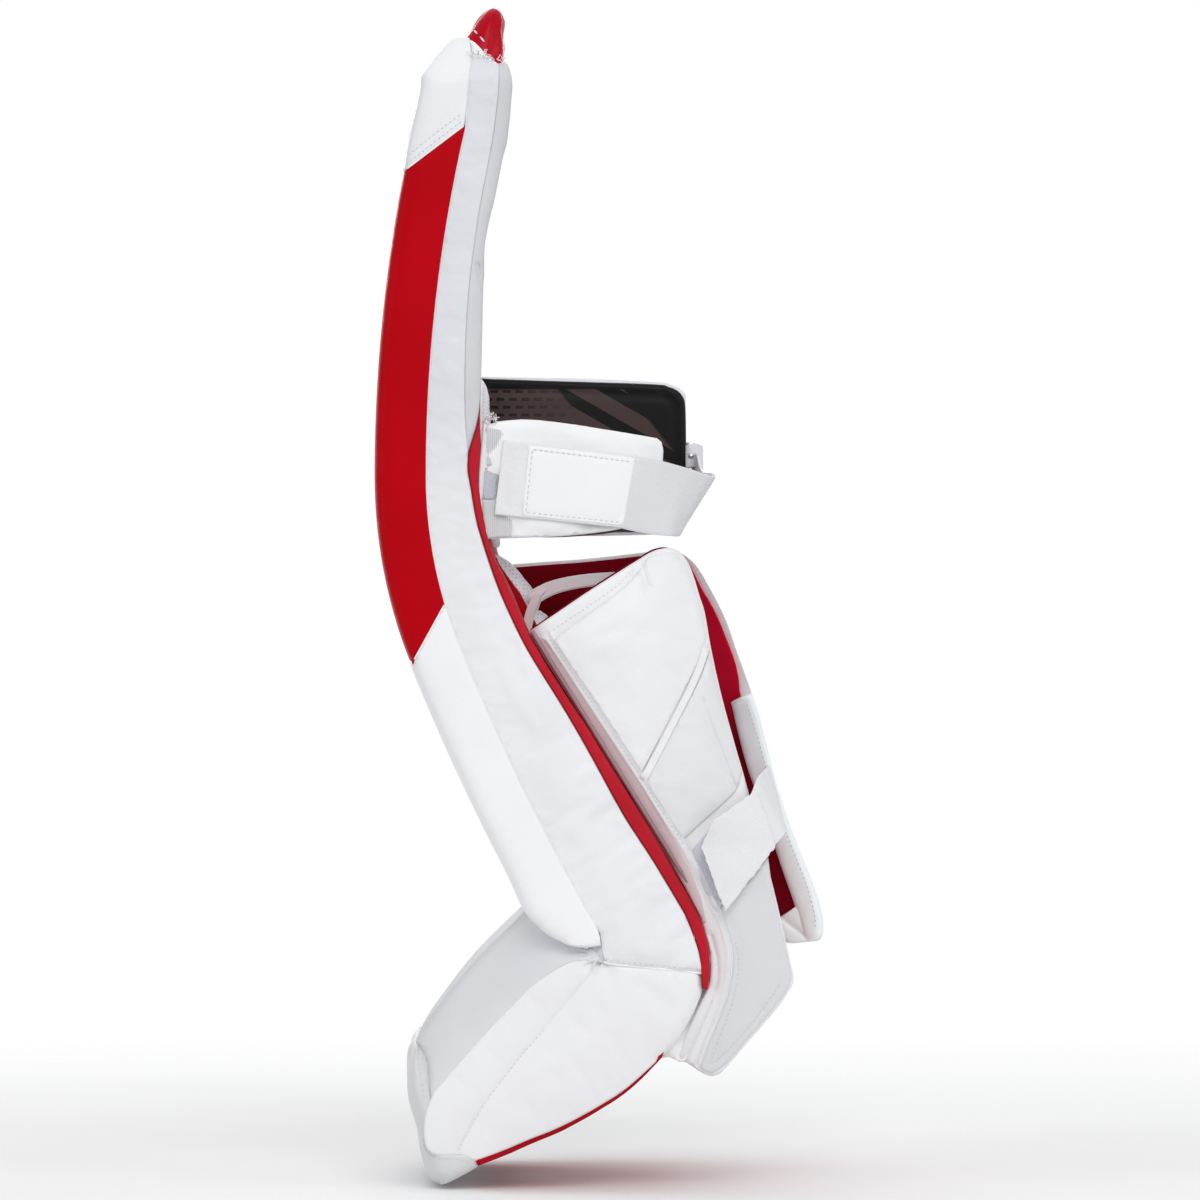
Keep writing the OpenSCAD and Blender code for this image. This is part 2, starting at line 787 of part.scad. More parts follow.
module outer_wing_loop_patch() {
    u0 = calf_strap_start - 4;
    outline = calf_strap_outline(u0, calf_strap_start + calf_tab_l - 12);
    color(white) wing_frame() curved_layer(-1, outline, -glue - patch_t, -glue);
}

module calf_strap_band() {
    path = strap_path(calf_strap_start, calf_strap_turn, calf_hook);
    bend_u = calf_strap_turn + strap_bend;
    hem_u = calf_hook[0] - 2 * hem_r;
    outline = [
        [calf_strap_start - 2, calf_edge(calf_strap_start - 2) - calf_strap_w / 2],
        [bend_u, calf_edge(bend_u) - calf_strap_w / 2], [hem_u, hem_top - hem_w], [far, hem_top - hem_w],
        [far, hem_top], [hem_u, hem_top], [bend_u, calf_edge(bend_u) + calf_strap_w / 2],
        [calf_strap_start + 8, calf_edge(calf_strap_start - 2) + calf_strap_w / 2]
    ];
    color(white) wing_frame() intersection() {
        union() {
            column(band(path, strap_t), -far, far);
            translate([calf_hook[0], calf_hook[1], -far]) cylinder(r = hem_r, h = 2 * far);
        }
        slab(outline, -far, far);
    }
}

module calf_strap_tab() {
    t0 = -(strap_lift + strap_t / 2 + glue);
    outline = calf_strap_outline(calf_strap_start - 4, calf_strap_start + calf_tab_l - 10);
    color(elastic_grey) wing_frame() curved_layer(-1, outline, t0 - 2, t0);
}

module calf_strap_anchor() {
    sewn_r = wing_r + glue + strap_t / 2;
    sewn_l = 46;
    turn_l = 2.8;
    sewn = [for (i = [0:5])
        let (p = outside(calf_hook[0] - turn_l - sewn_l * (1 - i / 5), sewn_r)) [p[0], -p[1]]];
    hem_gap = hem_r + move_gap + strap_t / 2;
    path = concat(sewn, [calf_hook + hem_gap * [-0.2, 1]]);
    color(white) wing_frame() column(band(path, strap_t), hem_top - hem_w, hem_top);
}

// Knee wrap and strap, in a frame at the wrap's hinge with x back from the pad

wrap_low_s = wrap_down + 13;
wrap_x = at(wrap_low_s, back_d(wrap_low_s) + hinge_lift)[0];

module wrap_frame() {
    translate([wrap_x, 0, knee_z]) children();
}

wrap_outline = concat(
    [[hinge_edge, wrap_up]],
    smooth([
        [wrap_reach / 4, wrap_up + 1], [wrap_reach / 2, wrap_up - 2], [wrap_reach - 31, wrap_up - 9],
        [wrap_reach - 4, wrap_up - 13], [wrap_reach, wrap_up - 22], [wrap_reach, -4],
        [wrap_reach - 8, 18 - wrap_down], [wrap_reach - 34, 6 - wrap_down], [wrap_reach / 2, 1 - wrap_down]
    ], 2),
    [[hinge_edge, -wrap_down]]
);

module knee_wrap_welt() {
    color(red) wrap_frame() translate([0, -hinge_y, -wrap_down]) cylinder(r = welt_r, h = wrap_up + wrap_down);
}

module knee_wrap_pad() {
    color(white) wrap_frame() curved_layer(-1, wrap_outline, 0, wrap_t);
}

module knee_wrap_lining() {
    color(black) wrap_frame() curved_layer(-1, wrap_outline, wrap_t + glue, wrap_t + glue + lining_t);
}

module knee_wrap_elastics() {
    u0 = hinge_edge + 0.5;
    elastic_w = 26;
    elastic_h = 38;
    edge_in = 4;
    color(elastic_grey) wrap_frame() {
        for (z0 = [wrap_up - edge_in - elastic_h, edge_in - wrap_down])
            curved_layer(-1, round_rect(u0, u0 + elastic_w, z0, z0 + elastic_h, 2), -patch_t, -glue);
    }
}

// Slanted outline of the knee strap, seen from the side
function knee_strap_outline(u0, u1) = [
    [u0, -29], [wrap_reach - 30, 6 - wrap_down], [wrap_reach - 4, 1 - wrap_down], [u1, 1 - wrap_down],
    [u1, knee_strap_rise + 14], [wrap_reach + 25, knee_strap_rise + 14], [wrap_reach - 19, knee_strap_w - wrap_down + 6],
    [u0 + 6, knee_strap_w - 28]
];

block_front = at(0, back_d(0) + glue)[0];
block_back = block_front + block_len;
ring_gap = 6.5;
knee_hook = [block_back + ring_gap - wrap_x, pad_half - block_t / 2 - 6];
ring_r = 2.2;
ring_z0 = -10;
ring_h = 46;
knee_strap_start = 7;
knee_strap_turn = wrap_reach + 12;

module knee_strap_band() {
    path = strap_path(knee_strap_start, knee_strap_turn, knee_hook);
    lap = hem_r + ring_r;
    rise_y = -60;
    color(white) wrap_frame() difference() {
        intersection() {
            union() {
                column(band(path, strap_t), -far, far);
                translate([knee_hook[0], knee_hook[1], -far]) cylinder(r = lap, h = 2 * far);
            }
            slab(knee_strap_outline(knee_strap_start - 1, far), -far, far);
            // Behind the knee the strap rises towards its hook
            cutter([
                [-far, -far], [rise_y, 1 - wrap_down], [knee_hook[1] - 10, ring_z0 + 3], [far, ring_z0 + 3],
                [far, ring_z0 + ring_h - 3], [knee_hook[1] - 10, ring_z0 + ring_h - 3],
                [rise_y, knee_strap_w - wrap_down], [rise_y - knee_strap_w, far], [-far, far]
            ]);
        }
        translate([knee_hook[0], knee_hook[1], -far]) cylinder(r = ring_r + 0.05, h = 2 * far);
    }
}

module knee_strap_tab() {
    t0 = -(strap_lift + strap_t / 2 + glue);
    u0 = knee_strap_start + 4;
    u1 = u0 + knee_tab_l;
    outline = [[u0 - 2, -27], [u1 - 8, 9 - wrap_down], [u1, knee_strap_w - wrap_down + 5], [u0 + 5, knee_strap_w - 31]];
    color(elastic_grey) wrap_frame() curved_layer(-1, outline, t0 - 1.6, t0);
}

// Bar that the knee strap turns on, on two arms sewn to the back of the knee block
module knee_strap_ring() {
    color(steel) wrap_frame() translate([knee_hook[0], knee_hook[1], ring_z0]) {
        cylinder(r = ring_r, h = ring_h);
        for (z = [-2 * ring_r, ring_h])
            translate([glue - ring_gap, -ring_r, z]) cube([ring_gap - glue + ring_r, 2 * ring_r, 2 * ring_r]);
    }
}

// Knee block

block_y0 = pad_half - block_t;
block_low = knee_z - block_down;
block_top = knee_z + block_up;

block_rim = 3;
seat_back = function (s) back_d(s) + glue;

// Layer of the knee block, set in from the block's edges and cut to the pad's back
module block_layer(set_in, y0, y1) {
    outline = round_rect(
        block_front + set_in, block_back - set_in, block_low + set_in, block_top - set_in, block_round - set_in
    );
    difference() {
        slab(outline, y0, y1);
        slab(strip(-break_up, shin_len / 2, skin, -break_up, shin_len / 2, seat_back), 0, far);
    }
}

module knee_block_liner() {
    color(black) block_layer(block_rim, block_y0, block_y0 + liner_t);
}

module knee_block_foam() {
    color(white) block_layer(0, block_y0 + liner_t + glue, pad_half - landing_t - glue);
}

module knee_block_landing() {
    color(white) block_layer(0, pad_half - landing_t, pad_half - 0.5);
}

// Channel

// Crowned cushion on the pad's back, with drawn-in sides and sewn channels across it
module cushion(s0, s1, y_mid, width, crown, channels) {
    rows = 28;
    cols = 12;
    pinch = 0.04;
    base = [for (i = [0:rows]) for (j = [0:cols])
        let (
            s = s0 + (s1 - s0) * i / rows,
            half = width / 2 * (1 - pinch * (1 - (2 * i / rows - 1) ^ 2)),
            p = at(s, back_d(s) + glue)
        ) [p[0], y_mid + half * (2 * j / cols - 1), p[1]]];
    crest = [for (i = [0:rows]) for (j = [0:cols])
        let (
            s = s0 + (s1 - s0) * i / rows,
            half = width / 2 * (1 - pinch * (1 - (2 * i / rows - 1) ^ 2)),
            swell = (1 - (2 * i / rows - 1) ^ 6) * (1 - (2 * j / cols - 1) ^ 4),
            groove = channel_d * max(0, 1 - 3 * abs(sin(180 * i / rows * channels))),
            h = cushion_edge + max(0, (crown - cushion_edge) * swell - groove * min(1, 2 * swell)),
            p = at(s, back_d(s) + glue + h)
        ) [p[0], y_mid + half * (2 * j / cols - 1), p[1]]];
    n = (rows + 1) * (cols + 1);
    // Corners of a cell of the grid, as two triangles
    function cell(a, b, c, d) = [[a, b, c], [a, c, d]];
    row = cols + 1;
    under = [for (i = [0:rows - 1]) for (j = [0:cols - 1])
        let (k = i * row + j) each cell(k, k + 1, k + row + 1, k + row)];
    over = [for (i = [0:rows - 1]) for (j = [0:cols - 1])
        let (k = n + i * row + j) each cell(k, k + row, k + row + 1, k + 1)];
    sides = [for (i = [0:rows - 1])
        let (k = i * row, m = k + cols)
        each concat(cell(k, k + row, n + k + row, n + k), cell(m, n + m, n + m + row, m + row))];
    ends = [for (j = [0:cols - 1])
        let (m = rows * row + j)
        each concat(cell(j, n + j, n + j + 1, j + 1), cell(m, m + 1, n + m + 1, n + m))];
    polyhedron(concat(base, crest), concat(under, over, sides, ends));
}

module shin_cushion() {
    color(white) cushion(shin_cushion_top, shin_len - shin_cushion_short, 0, shin_cushion_w, shin_crown, 4);
}

module knee_cushion() {
    y_high = block_y0 - 12;
    y_mid = y_high - knee_cushion_w / 2;
    color(white) cushion(-block_up, knee_cushion_low, y_mid, knee_cushion_w, knee_crown, 2);
}

// Elastic loop that holds the calf at the top of the channel
module calf_sling() {
    sling_t = 2;
    sling_z = 4;
    squash = 4;
    // The loop's ends are sewn to the pad's back at their top edge
    end_s = wing_s0 - sling_z - sling_w;
    sewn = at(end_s, back_d(end_s) + glue) - wing_top;
    start = sewn[0] * cos(wing_tilt) - sewn[1] * sin(wing_tilt);
    path = [for (i = [0:20])
        let (a = -90 + 9 * i, c = cos(a), s = sin(a))
        [start + (sling_reach - start) * (1 - (1 - c) ^ squash), sling_half * s]];
    color(elastic_grey) wing_frame() column(band(path, sling_t), sling_z, sling_z + sling_w);
}

shin_core();
shin_board();
knee_stripe();
shin_face();
outer_sidewall();
inner_sidewall();
back_panel();
knee_cushion();
shin_cushion();
calf_sling();
knee_block_liner();
knee_block_foam();
knee_block_landing();
knee_strap_ring();
outer_wing_welt();
inner_wing_welt();
knee_wrap_welt();
thigh_core();
thigh_board();
thigh_face();
thigh_stripe();
thigh_outer_sidewall();
thigh_inner_sidewall();
thigh_back_panel();
thigh_top_cap();
boot_core();
boot_face();
boot_outer_gusset();
boot_inner_gusset();
boot_sole_panel();
toe_cap();
toe_bridge();
toe_eyelets();
outer_wing_pad();
outer_wing_board();
outer_wing_lining();
outer_wing_upper_panel();
outer_wing_lower_panel();
outer_wing_loop_patch();
inner_wing_pad();
inner_wing_board();
inner_wing_lining();
inner_wing_binding();
calf_strap_anchor();
calf_strap_band();
calf_strap_tab();
knee_wrap_pad();
knee_wrap_lining();
knee_wrap_elastics();
knee_strap_band();
knee_strap_tab();
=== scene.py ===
"""Looks of an ice-hockey goalkeeper's leg pad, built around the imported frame."""

import math
from functools import partial

import bmesh
import bpy
import numpy as np
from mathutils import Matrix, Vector
from mathutils.bvhtree import BVHTree
from mathutils.geometry import delaunay_2d_cdt


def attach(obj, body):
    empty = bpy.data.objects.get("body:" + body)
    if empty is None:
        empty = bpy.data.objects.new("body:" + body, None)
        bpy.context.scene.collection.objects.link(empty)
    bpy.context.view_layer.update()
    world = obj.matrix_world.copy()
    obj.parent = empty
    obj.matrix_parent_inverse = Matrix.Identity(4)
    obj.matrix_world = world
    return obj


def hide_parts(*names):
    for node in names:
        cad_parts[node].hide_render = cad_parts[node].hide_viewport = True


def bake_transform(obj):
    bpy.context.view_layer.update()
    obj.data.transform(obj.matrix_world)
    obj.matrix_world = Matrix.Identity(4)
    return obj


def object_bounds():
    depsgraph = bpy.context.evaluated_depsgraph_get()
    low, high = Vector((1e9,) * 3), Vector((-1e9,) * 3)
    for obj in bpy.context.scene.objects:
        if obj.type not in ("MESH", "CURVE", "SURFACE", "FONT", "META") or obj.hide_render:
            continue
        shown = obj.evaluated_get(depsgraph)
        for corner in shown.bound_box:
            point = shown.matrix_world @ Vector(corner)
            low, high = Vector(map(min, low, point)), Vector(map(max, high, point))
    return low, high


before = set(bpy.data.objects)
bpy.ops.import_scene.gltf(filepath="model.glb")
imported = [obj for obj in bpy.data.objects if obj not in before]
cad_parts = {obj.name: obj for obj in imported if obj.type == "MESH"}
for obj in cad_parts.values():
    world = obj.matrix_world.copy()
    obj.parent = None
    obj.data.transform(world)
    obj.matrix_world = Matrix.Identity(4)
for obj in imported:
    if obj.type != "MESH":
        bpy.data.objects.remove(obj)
cad_box = [list(map(float, corner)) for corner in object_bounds()]
MM = 0.001
PX = 0.75  # millimetres a pixel at the pad's near side
PX_MID = 600  # the picture's middle
NEAR = 140.0  # half of the pad's width
CAMERA = 4667.0  # from the near side to the camera

# The pad's profile, in millimetres

FACE_T, WALL_KNEE, WALL_ANKLE = 38.0, 33.0, 63.0
BACK_KNEE, BACK_ANKLE, GLUE = 4.0, 11.0, 0.3
KNEE_TIP = np.array([-168.5, 94.0])
THIGH_R, KNEE_R, KNEE_TURN, SHIN_R = 1200.0, 380.0, math.radians(22), 1780.0
SHIN_LEN, BREAK = 410.0, -100.0
KNEE_LEN = KNEE_R * KNEE_TURN
KNEE_END = KNEE_TIP + KNEE_R * np.array([1 - math.cos(KNEE_TURN), -math.sin(KNEE_TURN)])


def lean(s):
    s = np.asarray(s, float)
    shin = KNEE_TURN + (s - KNEE_LEN) / SHIN_R
    return np.where(s < 0, s / THIGH_R, np.where(s < KNEE_LEN, s / KNEE_R, shin))


def at(s, d):
    """Point at length s down the face from the knee's tip and depth d behind the face, as x and z."""
    s, d = np.broadcast_arrays(np.asarray(s, float), np.asarray(d, float))
    c, w = np.cos(lean(s)), np.sin(lean(s))
    r, knee = np.where(s < 0, THIGH_R, KNEE_R), s < KNEE_LEN
    x = np.where(knee, KNEE_TIP[0] + r * (1 - c), KNEE_END[0] + SHIN_R * (math.cos(KNEE_TURN) - c))
    z = np.where(knee, KNEE_TIP[1] - r * w, KNEE_END[1] + SHIN_R * (math.sin(KNEE_TURN) - w))
    return np.stack([x + d * c, z + d * w], -1)


def wall_d(s):
    return FACE_T + WALL_KNEE + (WALL_ANKLE - WALL_KNEE) * np.maximum(0, np.asarray(s, float)) / SHIN_LEN


def back_d(s):
    return wall_d(s) + GLUE + BACK_KNEE + (BACK_ANKLE - BACK_KNEE) * np.maximum(0, np.asarray(s, float)) / SHIN_LEN


def along(s0, s1, depth, step=12):
    s = np.linspace(s0, s1, max(2, int(abs(s1 - s0) / step)) + 1)
    return at(s, depth(s) if callable(depth) else depth)


def px(points, y=-NEAR):
    """Pixels of the picture as x and z in the plane y."""
    p = np.asarray(points, float)
    f = (CAMERA + NEAR + y) / CAMERA
    return np.stack([(p[:, 0] - PX_MID) * PX * f, (PX_MID - p[:, 1]) * PX * f], -1)


def xyz(p, y):
    p = np.asarray(p, float)
    return np.stack([p[:, 0], np.broadcast_to(np.asarray(y, float), (len(p),)), p[:, 1]], -1)


# Outlines and fills


def unit(v):
    return v / np.maximum(np.linalg.norm(v, axis=-1, keepdims=True), 1e-9)


def left_of(way):
    way = unit(way)
    return np.stack([-way[:, 1], way[:, 0]], -1)


def spline(points, step=4.0):
    """Smooth curve through points, sampled about every step."""
    p = np.asarray(points, float)
    if len(p) == 2:
        n = max(1, int(round(np.linalg.norm(p[1] - p[0]) / step)))
        return p[0] + (p[1] - p[0]) * np.linspace(0, 1, n + 1)[:, None]
    ext = np.vstack([2 * p[0] - p[1], p, 2 * p[-1] - p[-2]])
    out = []
    for i in range(1, len(ext) - 2):
        a, b, c, d = ext[i - 1 : i + 3]
        n = max(1, int(round(np.linalg.norm(c - b) / step)))
        t = np.arange(n)[:, None] / n
        square, cube = 2 * a - 5 * b + 4 * c - d, 3 * b - a - 3 * c + d
        out.append(0.5 * (2 * b + (c - a) * t + square * t**2 + cube * t**3))
    return np.vstack(out + [p[-1:]])


def bent(points, step):
    """Straight runs from point to point."""
    return np.vstack([spline(points[i : i + 2], step) for i in range(len(points) - 1)])


def even(points, count, step=None):
    """Evenly spaced places along a path, smoothed first where a step is given."""
    c = np.asarray(points, float) if step is None else spline(points, step)
    s = np.concatenate([[0], np.cumsum(np.linalg.norm(np.diff(c, axis=0), axis=1))])
    t = np.linspace(0, s[-1], count)
    return np.stack([np.interp(t, s, c[:, i]) for i in range(c.shape[1])], -1)


def turns_right(p):
    return np.sum(p[:, 0] * np.roll(p[:, 1], -1) - np.roll(p[:, 0], -1) * p[:, 1]) < 0


def outline(*runs, step=4.0):
    """Closed outline from runs of points, each a smooth curve; also the number of the run each point starts in."""
    curves = [spline(run, step)[:-1] for run in runs]
    p, ids = np.vstack(curves), np.repeat(np.arange(len(curves)), [len(c) for c in curves])
    if turns_right(p):
        p, ids = np.roll(p[::-1], 1, axis=0), ids[::-1].copy()
    return p, ids


def closed(view, *runs, step=4.0):
    """Outline from runs of picture points, each carrying on from the end of the one before; view places the points."""
    ends = [run[-1] for run in (runs[-1], *runs[:-1])]
    return outline(*[view([end, *run]) for end, run in zip(ends, runs)], step=step)


def between(front, rear, step=4.0):
    """Outline of a band from its front edge to its rear edge."""
    foot, top = np.vstack([front[-1:], rear[-1:]]), np.vstack([rear[:1], front[:1]])
    return outline(front, foot, rear[::-1], top, step=step)


def seg_dist(points, a, b):
    """Distance of each point from each segment a-b."""
    ab = b - a
    ap = points[:, None, :] - a[None]
    t = np.clip((ap * ab).sum(-1) / np.maximum((ab * ab).sum(-1), 1e-12), 0, 1)
    return np.linalg.norm(ap - t[..., None] * ab, axis=-1)


def line_dist(points, line):
    line = np.asarray(line, float)
    return seg_dist(points, line[:-1], line[1:]).min(1)


def rim_dist(points, poly):
    return seg_dist(points, poly, np.roll(poly, -1, axis=0)).min(1)


def bell(d, wide):
    return np.exp(-((d / wide) ** 2))


def rise(d, reach):
    return np.clip(d / reach, 0, 1)


def inside(points, poly):
    x, y = points[:, :1], points[:, 1:]
    a, b = poly, np.roll(poly, -1, axis=0)
    cross = (a[:, 1] > y) != (b[:, 1] > y)
    with np.errstate(divide="ignore", invalid="ignore"):
        hit = x < (b[:, 0] - a[:, 0]) * (y - a[:, 1]) / (b[:, 1] - a[:, 1]) + a[:, 0]
    return (cross & hit).sum(1) % 2 == 1


def fill(poly, step=5.0, rings=(0.4, 1.2, 2.4, 4.0), lines=()):
    """Triangles inside an outline: rings near the edge, points along lines, then an even grid."""
    poly, n = np.asarray(poly, float), len(poly)
    keep, spare, cell = [poly], 0.45 * step, 0.35
    normal = left_of(np.roll(poly, -1, axis=0) - np.roll(poly, 1, axis=0))

    def add(points, gap):
        points = points[inside(points, poly)]
        keep.append(points[rim_dist(points, poly) > gap])

    for r in rings:
        add(poly + normal * r, 0.9 * r)
    for line, offsets in lines:
        for o in offsets:
            add(line + left_of(np.gradient(line, axis=0)) * o, 0.6)
    lo, hi = poly.min(0), poly.max(0)
    grid = []
    for i, z in enumerate(np.arange(lo[1], hi[1], step * 0.866)):
        x = np.arange(lo[0] + (step / 2 if i % 2 else 0), hi[0], step)
        grid.append(np.stack([x, np.full_like(x, z)], -1))
    add(np.vstack(grid), max(rings) + spare)
    for line, offsets in lines:
        keep[-1] = keep[-1][line_dist(keep[-1], line) > max(map(abs, offsets)) + spare]
    # points that fall nearly on top of each other are dropped
    points, seen = [], set()
    for i, p in enumerate(np.vstack(keep)):
        key = (round(p[0] / cell), round(p[1] / cell))
        if i < n or key not in seen:
            points.append(Vector(p))
            seen.add(key)
    edges = [(i, (i + 1) % n) for i in range(n)]
    verts, _, faces, orig, _, _ = delaunay_2d_cdt(points, edges, [], 1, 1e-4)
    rim = np.full(n, -1)
    for i, o in enumerate(orig):
        if o and min(o) < n:
            rim[min(o)] = i
    return np.array([tuple(v) for v in verts]), faces, rim


def inset(points, poly, ids, radii):
    """How far a rounded edge has fallen away at each point; radii gives each run's radius, or its width and depth."""
    a, b = poly, np.roll(poly, -1, axis=0)
    drop = np.zeros(len(points))
    for k in np.unique(ids):
        r = radii[int(k)] if isinstance(radii, dict) else radii
        wide, deep = r if isinstance(r, tuple) else (r, r)
        x = 1 - np.clip(seg_dist(points, a[ids == k], b[ids == k]).min(1) / wide, 0, 1)
        drop = np.maximum(drop, deep * (1 - np.sqrt(np.maximum(0, 1 - x * x))))
    return drop


# Objects

WELD = 2e-5  # metres
SWELL_REACH = 40.0  # from the edge to a form's full swell
EDGE_RINGS = (0.06, 0.22, 0.5, 1.0)  # places of a panel's rings, in parts of its edge's radius
OUTSIDE = -600.0  # well off the pad's near side


def new_object(name, verts, faces, material, smooth=True):
    """verts in millimetres."""
    me = bpy.data.meshes.new(name)
    me.from_pydata([tuple(v) for v in np.asarray(verts, float) * MM], [], [tuple(int(i) for i in f) for f in faces])
    me.validate()
    me.update()
    o = bpy.data.objects.new(name, me)
    bpy.context.scene.collection.objects.link(o)
    me.materials.append(material)
    if smooth:
        me.polygons.foreach_set("use_smooth", [True] * len(me.polygons))
    return o


def finish_mesh(o, sharp=None):
    """Welds, makes the faces look outwards and, with sharp, splits the shading at edges over that angle."""
    bm = bmesh.new()
    bm.from_mesh(o.data)
    bmesh.ops.remove_doubles(bm, verts=bm.verts, dist=WELD)
    bmesh.ops.dissolve_degenerate(bm, dist=1e-6, edges=bm.edges)
    bmesh.ops.recalc_face_normals(bm, faces=bm.faces)
    bm.to_mesh(o.data)
    bm.free()
    if sharp:
        o.data.set_sharp_from_angle(angle=math.radians(sharp))
    o.data.update()
    return o


def points_of(o):
    return np.array([list(v.co) for v in o.data.vertices]) / MM


def set_points(o, v):
    o.data.vertices.foreach_set("co", (v * MM).astype(np.float32).ravel())
    o.data.update()
    return o


def mirrored(o):
    """The same piece on the pad's other side."""
    return finish_mesh(set_points(o, points_of(o) * (1, -1, 1)))


def slab(
    name, run, y0, y1, material, near=2.0, far=None, bulge=(0, 0), step=5.0, rows=24, crown=None, lines=(), relief=None
):
    """Padded form with a side outline, from y0 to y1. near and far give the edges' radii for each run of the outline,
    far as near if left out; bulge swells the two sides, crown moves the band between them outwards, and relief adds
    height on the near side."""
    poly, ids = run
    v, f, rim = fill(poly, step, lines=lines)
    d = rim_dist(v, poly)
    swell = np.sqrt(rise(d, min(SWELL_REACH, d.max())))
    a = y0 + inset(v, poly, ids, near) - bulge[0] * swell
    b = y1 - inset(v, poly, ids, near if far is None else far) + bulge[1] * swell
    if relief:
        a = a - relief(v, d)
    n, m = len(v), len(poly)
    verts = [xyz(v, a), xyz(v, b)]
    faces = [(p, r, q) for p, q, r in f] + [(p + n, q + n, r + n) for p, q, r in f]
    out = -left_of(np.roll(poly, -1, axis=0) - np.roll(poly, 1, axis=0))
    index = [rim]
    for k in range(1, rows):
        t = k / rows
        y = a[rim] + (b[rim] - a[rim]) * t
        move = crown(poly, ids, np.full(m, t), y) if crown else np.zeros(m)
        verts.append(xyz(poly + out * move[:, None], y))
        index.append(2 * n + (k - 1) * m + np.arange(m))
    index.append(rim + n)
    for i, j in zip(index, index[1:]):
        faces += list(zip(i, np.roll(i, -1), np.roll(j, -1), j))
    return finish_mesh(new_object(name, np.vstack(verts), faces, material))


def panel(name, run, surface, top, material, bottom=0.0, radii=2.0, step=5.0, lines=(), relief=None, rings=None):
    """Padded sheet on a curved surface: surface(u, v, h) gives points at height h above it."""
    poly, ids = run
    if rings is None:
        big = max(radii.values()) if isinstance(radii, dict) else radii
        rings = tuple(big * k for k in EDGE_RINGS)
    v, f, rim = fill(poly, step, rings=rings, lines=lines)
    high = (top(v) if callable(top) else top) - inset(v, poly, ids, radii)
    if relief:
        high = high + relief(v, rim_dist(v, poly))
    low = np.full(len(v), float(bottom))
    high = np.maximum(high, low + 0.02)
    n, after = len(v), np.roll(rim, -1)
    verts = np.vstack([surface(v[:, 0], v[:, 1], high), surface(v[:, 0], v[:, 1], low)])
    faces = [(p, q, r) for p, q, r in f] + [(p + n, r + n, q + n) for p, q, r in f]
    faces += list(zip(rim, rim + n, after + n, after))
    return finish_mesh(new_object(name, verts, faces, material))


def loft(name, rings, material, cap=True, sharp=None):
    """Skin over closed rings of equal length."""
    n, m = rings.shape[:2]
    verts = rings.reshape(-1, 3)
    ring = np.arange(m)
    after = np.roll(ring, -1)
    faces = []
    for i in range(0, (n - 1) * m, m):
        faces += list(zip(ring + i, after + i, after + i + m, ring + i + m))
    if cap:
        verts = np.vstack([verts, rings[0].mean(0), rings[-1].mean(0)])
        faces += [(n * m, k, j) for j, k in zip(ring, after)]
        faces += [(n * m + 1, (n - 1) * m + j, (n - 1) * m + k) for j, k in zip(ring, after)]
    return finish_mesh(new_object(name, verts, faces, material), sharp)


def tube(name, path, r, material, sides=8, flat=1.0, cap=True):
    """Round piping along points; flat squeezes it across its second axis."""
    p = np.asarray(path, float)
    t = unit(np.gradient(p, axis=0))
    n1 = unit(np.cross(t, (0.31, 0.2, 0.93) if abs(t[:, 1]).max() > 0.9 else (0.0, 1.0, 0.0)))
    n2 = np.cross(t, n1)
    r = np.broadcast_to(np.asarray(r, float), (len(p),))
    ang = np.arange(sides) * 2 * math.pi / sides
    ring = np.cos(ang)[None, :, None] * n1[:, None] + flat * np.sin(ang)[None, :, None] * n2[:, None]
    return loft(name, p[:, None] + r[:, None, None] * ring, material, cap)


def ribbon(name, tops, bottoms, thick, material, across=6):
    """Flat strap between two edge paths of equal length, thick each side together."""
    a, b = np.asarray(tops, float), np.asarray(bottoms, float)
    n = unit(np.cross(np.gradient((a + b) / 2, axis=0), a - b))[:, None]
    w = np.concatenate([[0.0, 0.012], np.linspace(0.05, 0.95, across - 1), [0.988, 1.0]])[None, :, None]
    side = np.concatenate([[0.35, 0.85], np.ones(across - 1), [0.85, 0.35]])[None, :, None]
    flat, lift = a[:, None] + (b - a)[:, None] * w, n * (thick / 2 * side)
    return loft(name, np.concatenate([flat + lift, (flat - lift)[:, ::-1]], axis=1), material, sharp=40)


def stitches(name, paths, material, length=3.4, gap=1.5, r=0.42):
    """Rows of sewn stitches along paths, each given as points and the way that the surface faces."""
    verts, faces = [], []
    rings, sides = 5, 6
    for p, nrm in paths:
        s = np.concatenate([[0], np.cumsum(np.linalg.norm(np.diff(p, axis=0), axis=1))])
        count = max(1, int(s[-1] / (length + gap)))
        for k in range(count):
            c = (k + 0.5) * s[-1] / count
            q = np.array([np.interp([c - length / 2, c, c + length / 2], s, p[:, i]) for i in range(3)]).T
            w = np.array([np.interp(c, s, nrm[:, i]) for i in range(3)])
            t = unit(q[2] - q[0])
            w = unit(w - t * (w @ t))
            b = np.cross(t, w)
            start = len(verts)
            for x in np.linspace(-1, 1, rings):
                thick = r * math.sqrt(max(0.04, 1 - x * x))
                middle, lift = q[1] + t * (x * length / 2), w * r * 0.25 * (1 - x * x)
                for g in np.arange(sides) * 2 * math.pi / sides:
                    verts.append(middle + thick * (math.cos(g) * b + math.sin(g) * w) + lift)
            ring = np.arange(sides) + start
            after = np.roll(ring, -1)
            for i in range(0, (rings - 1) * sides, sides):
                faces += list(zip(ring + i, after + i, after + i + sides, ring + i + sides))
            faces += [tuple(ring[::-1]), tuple(ring + (rings - 1) * sides)]
    return new_object(name, verts, faces, material)


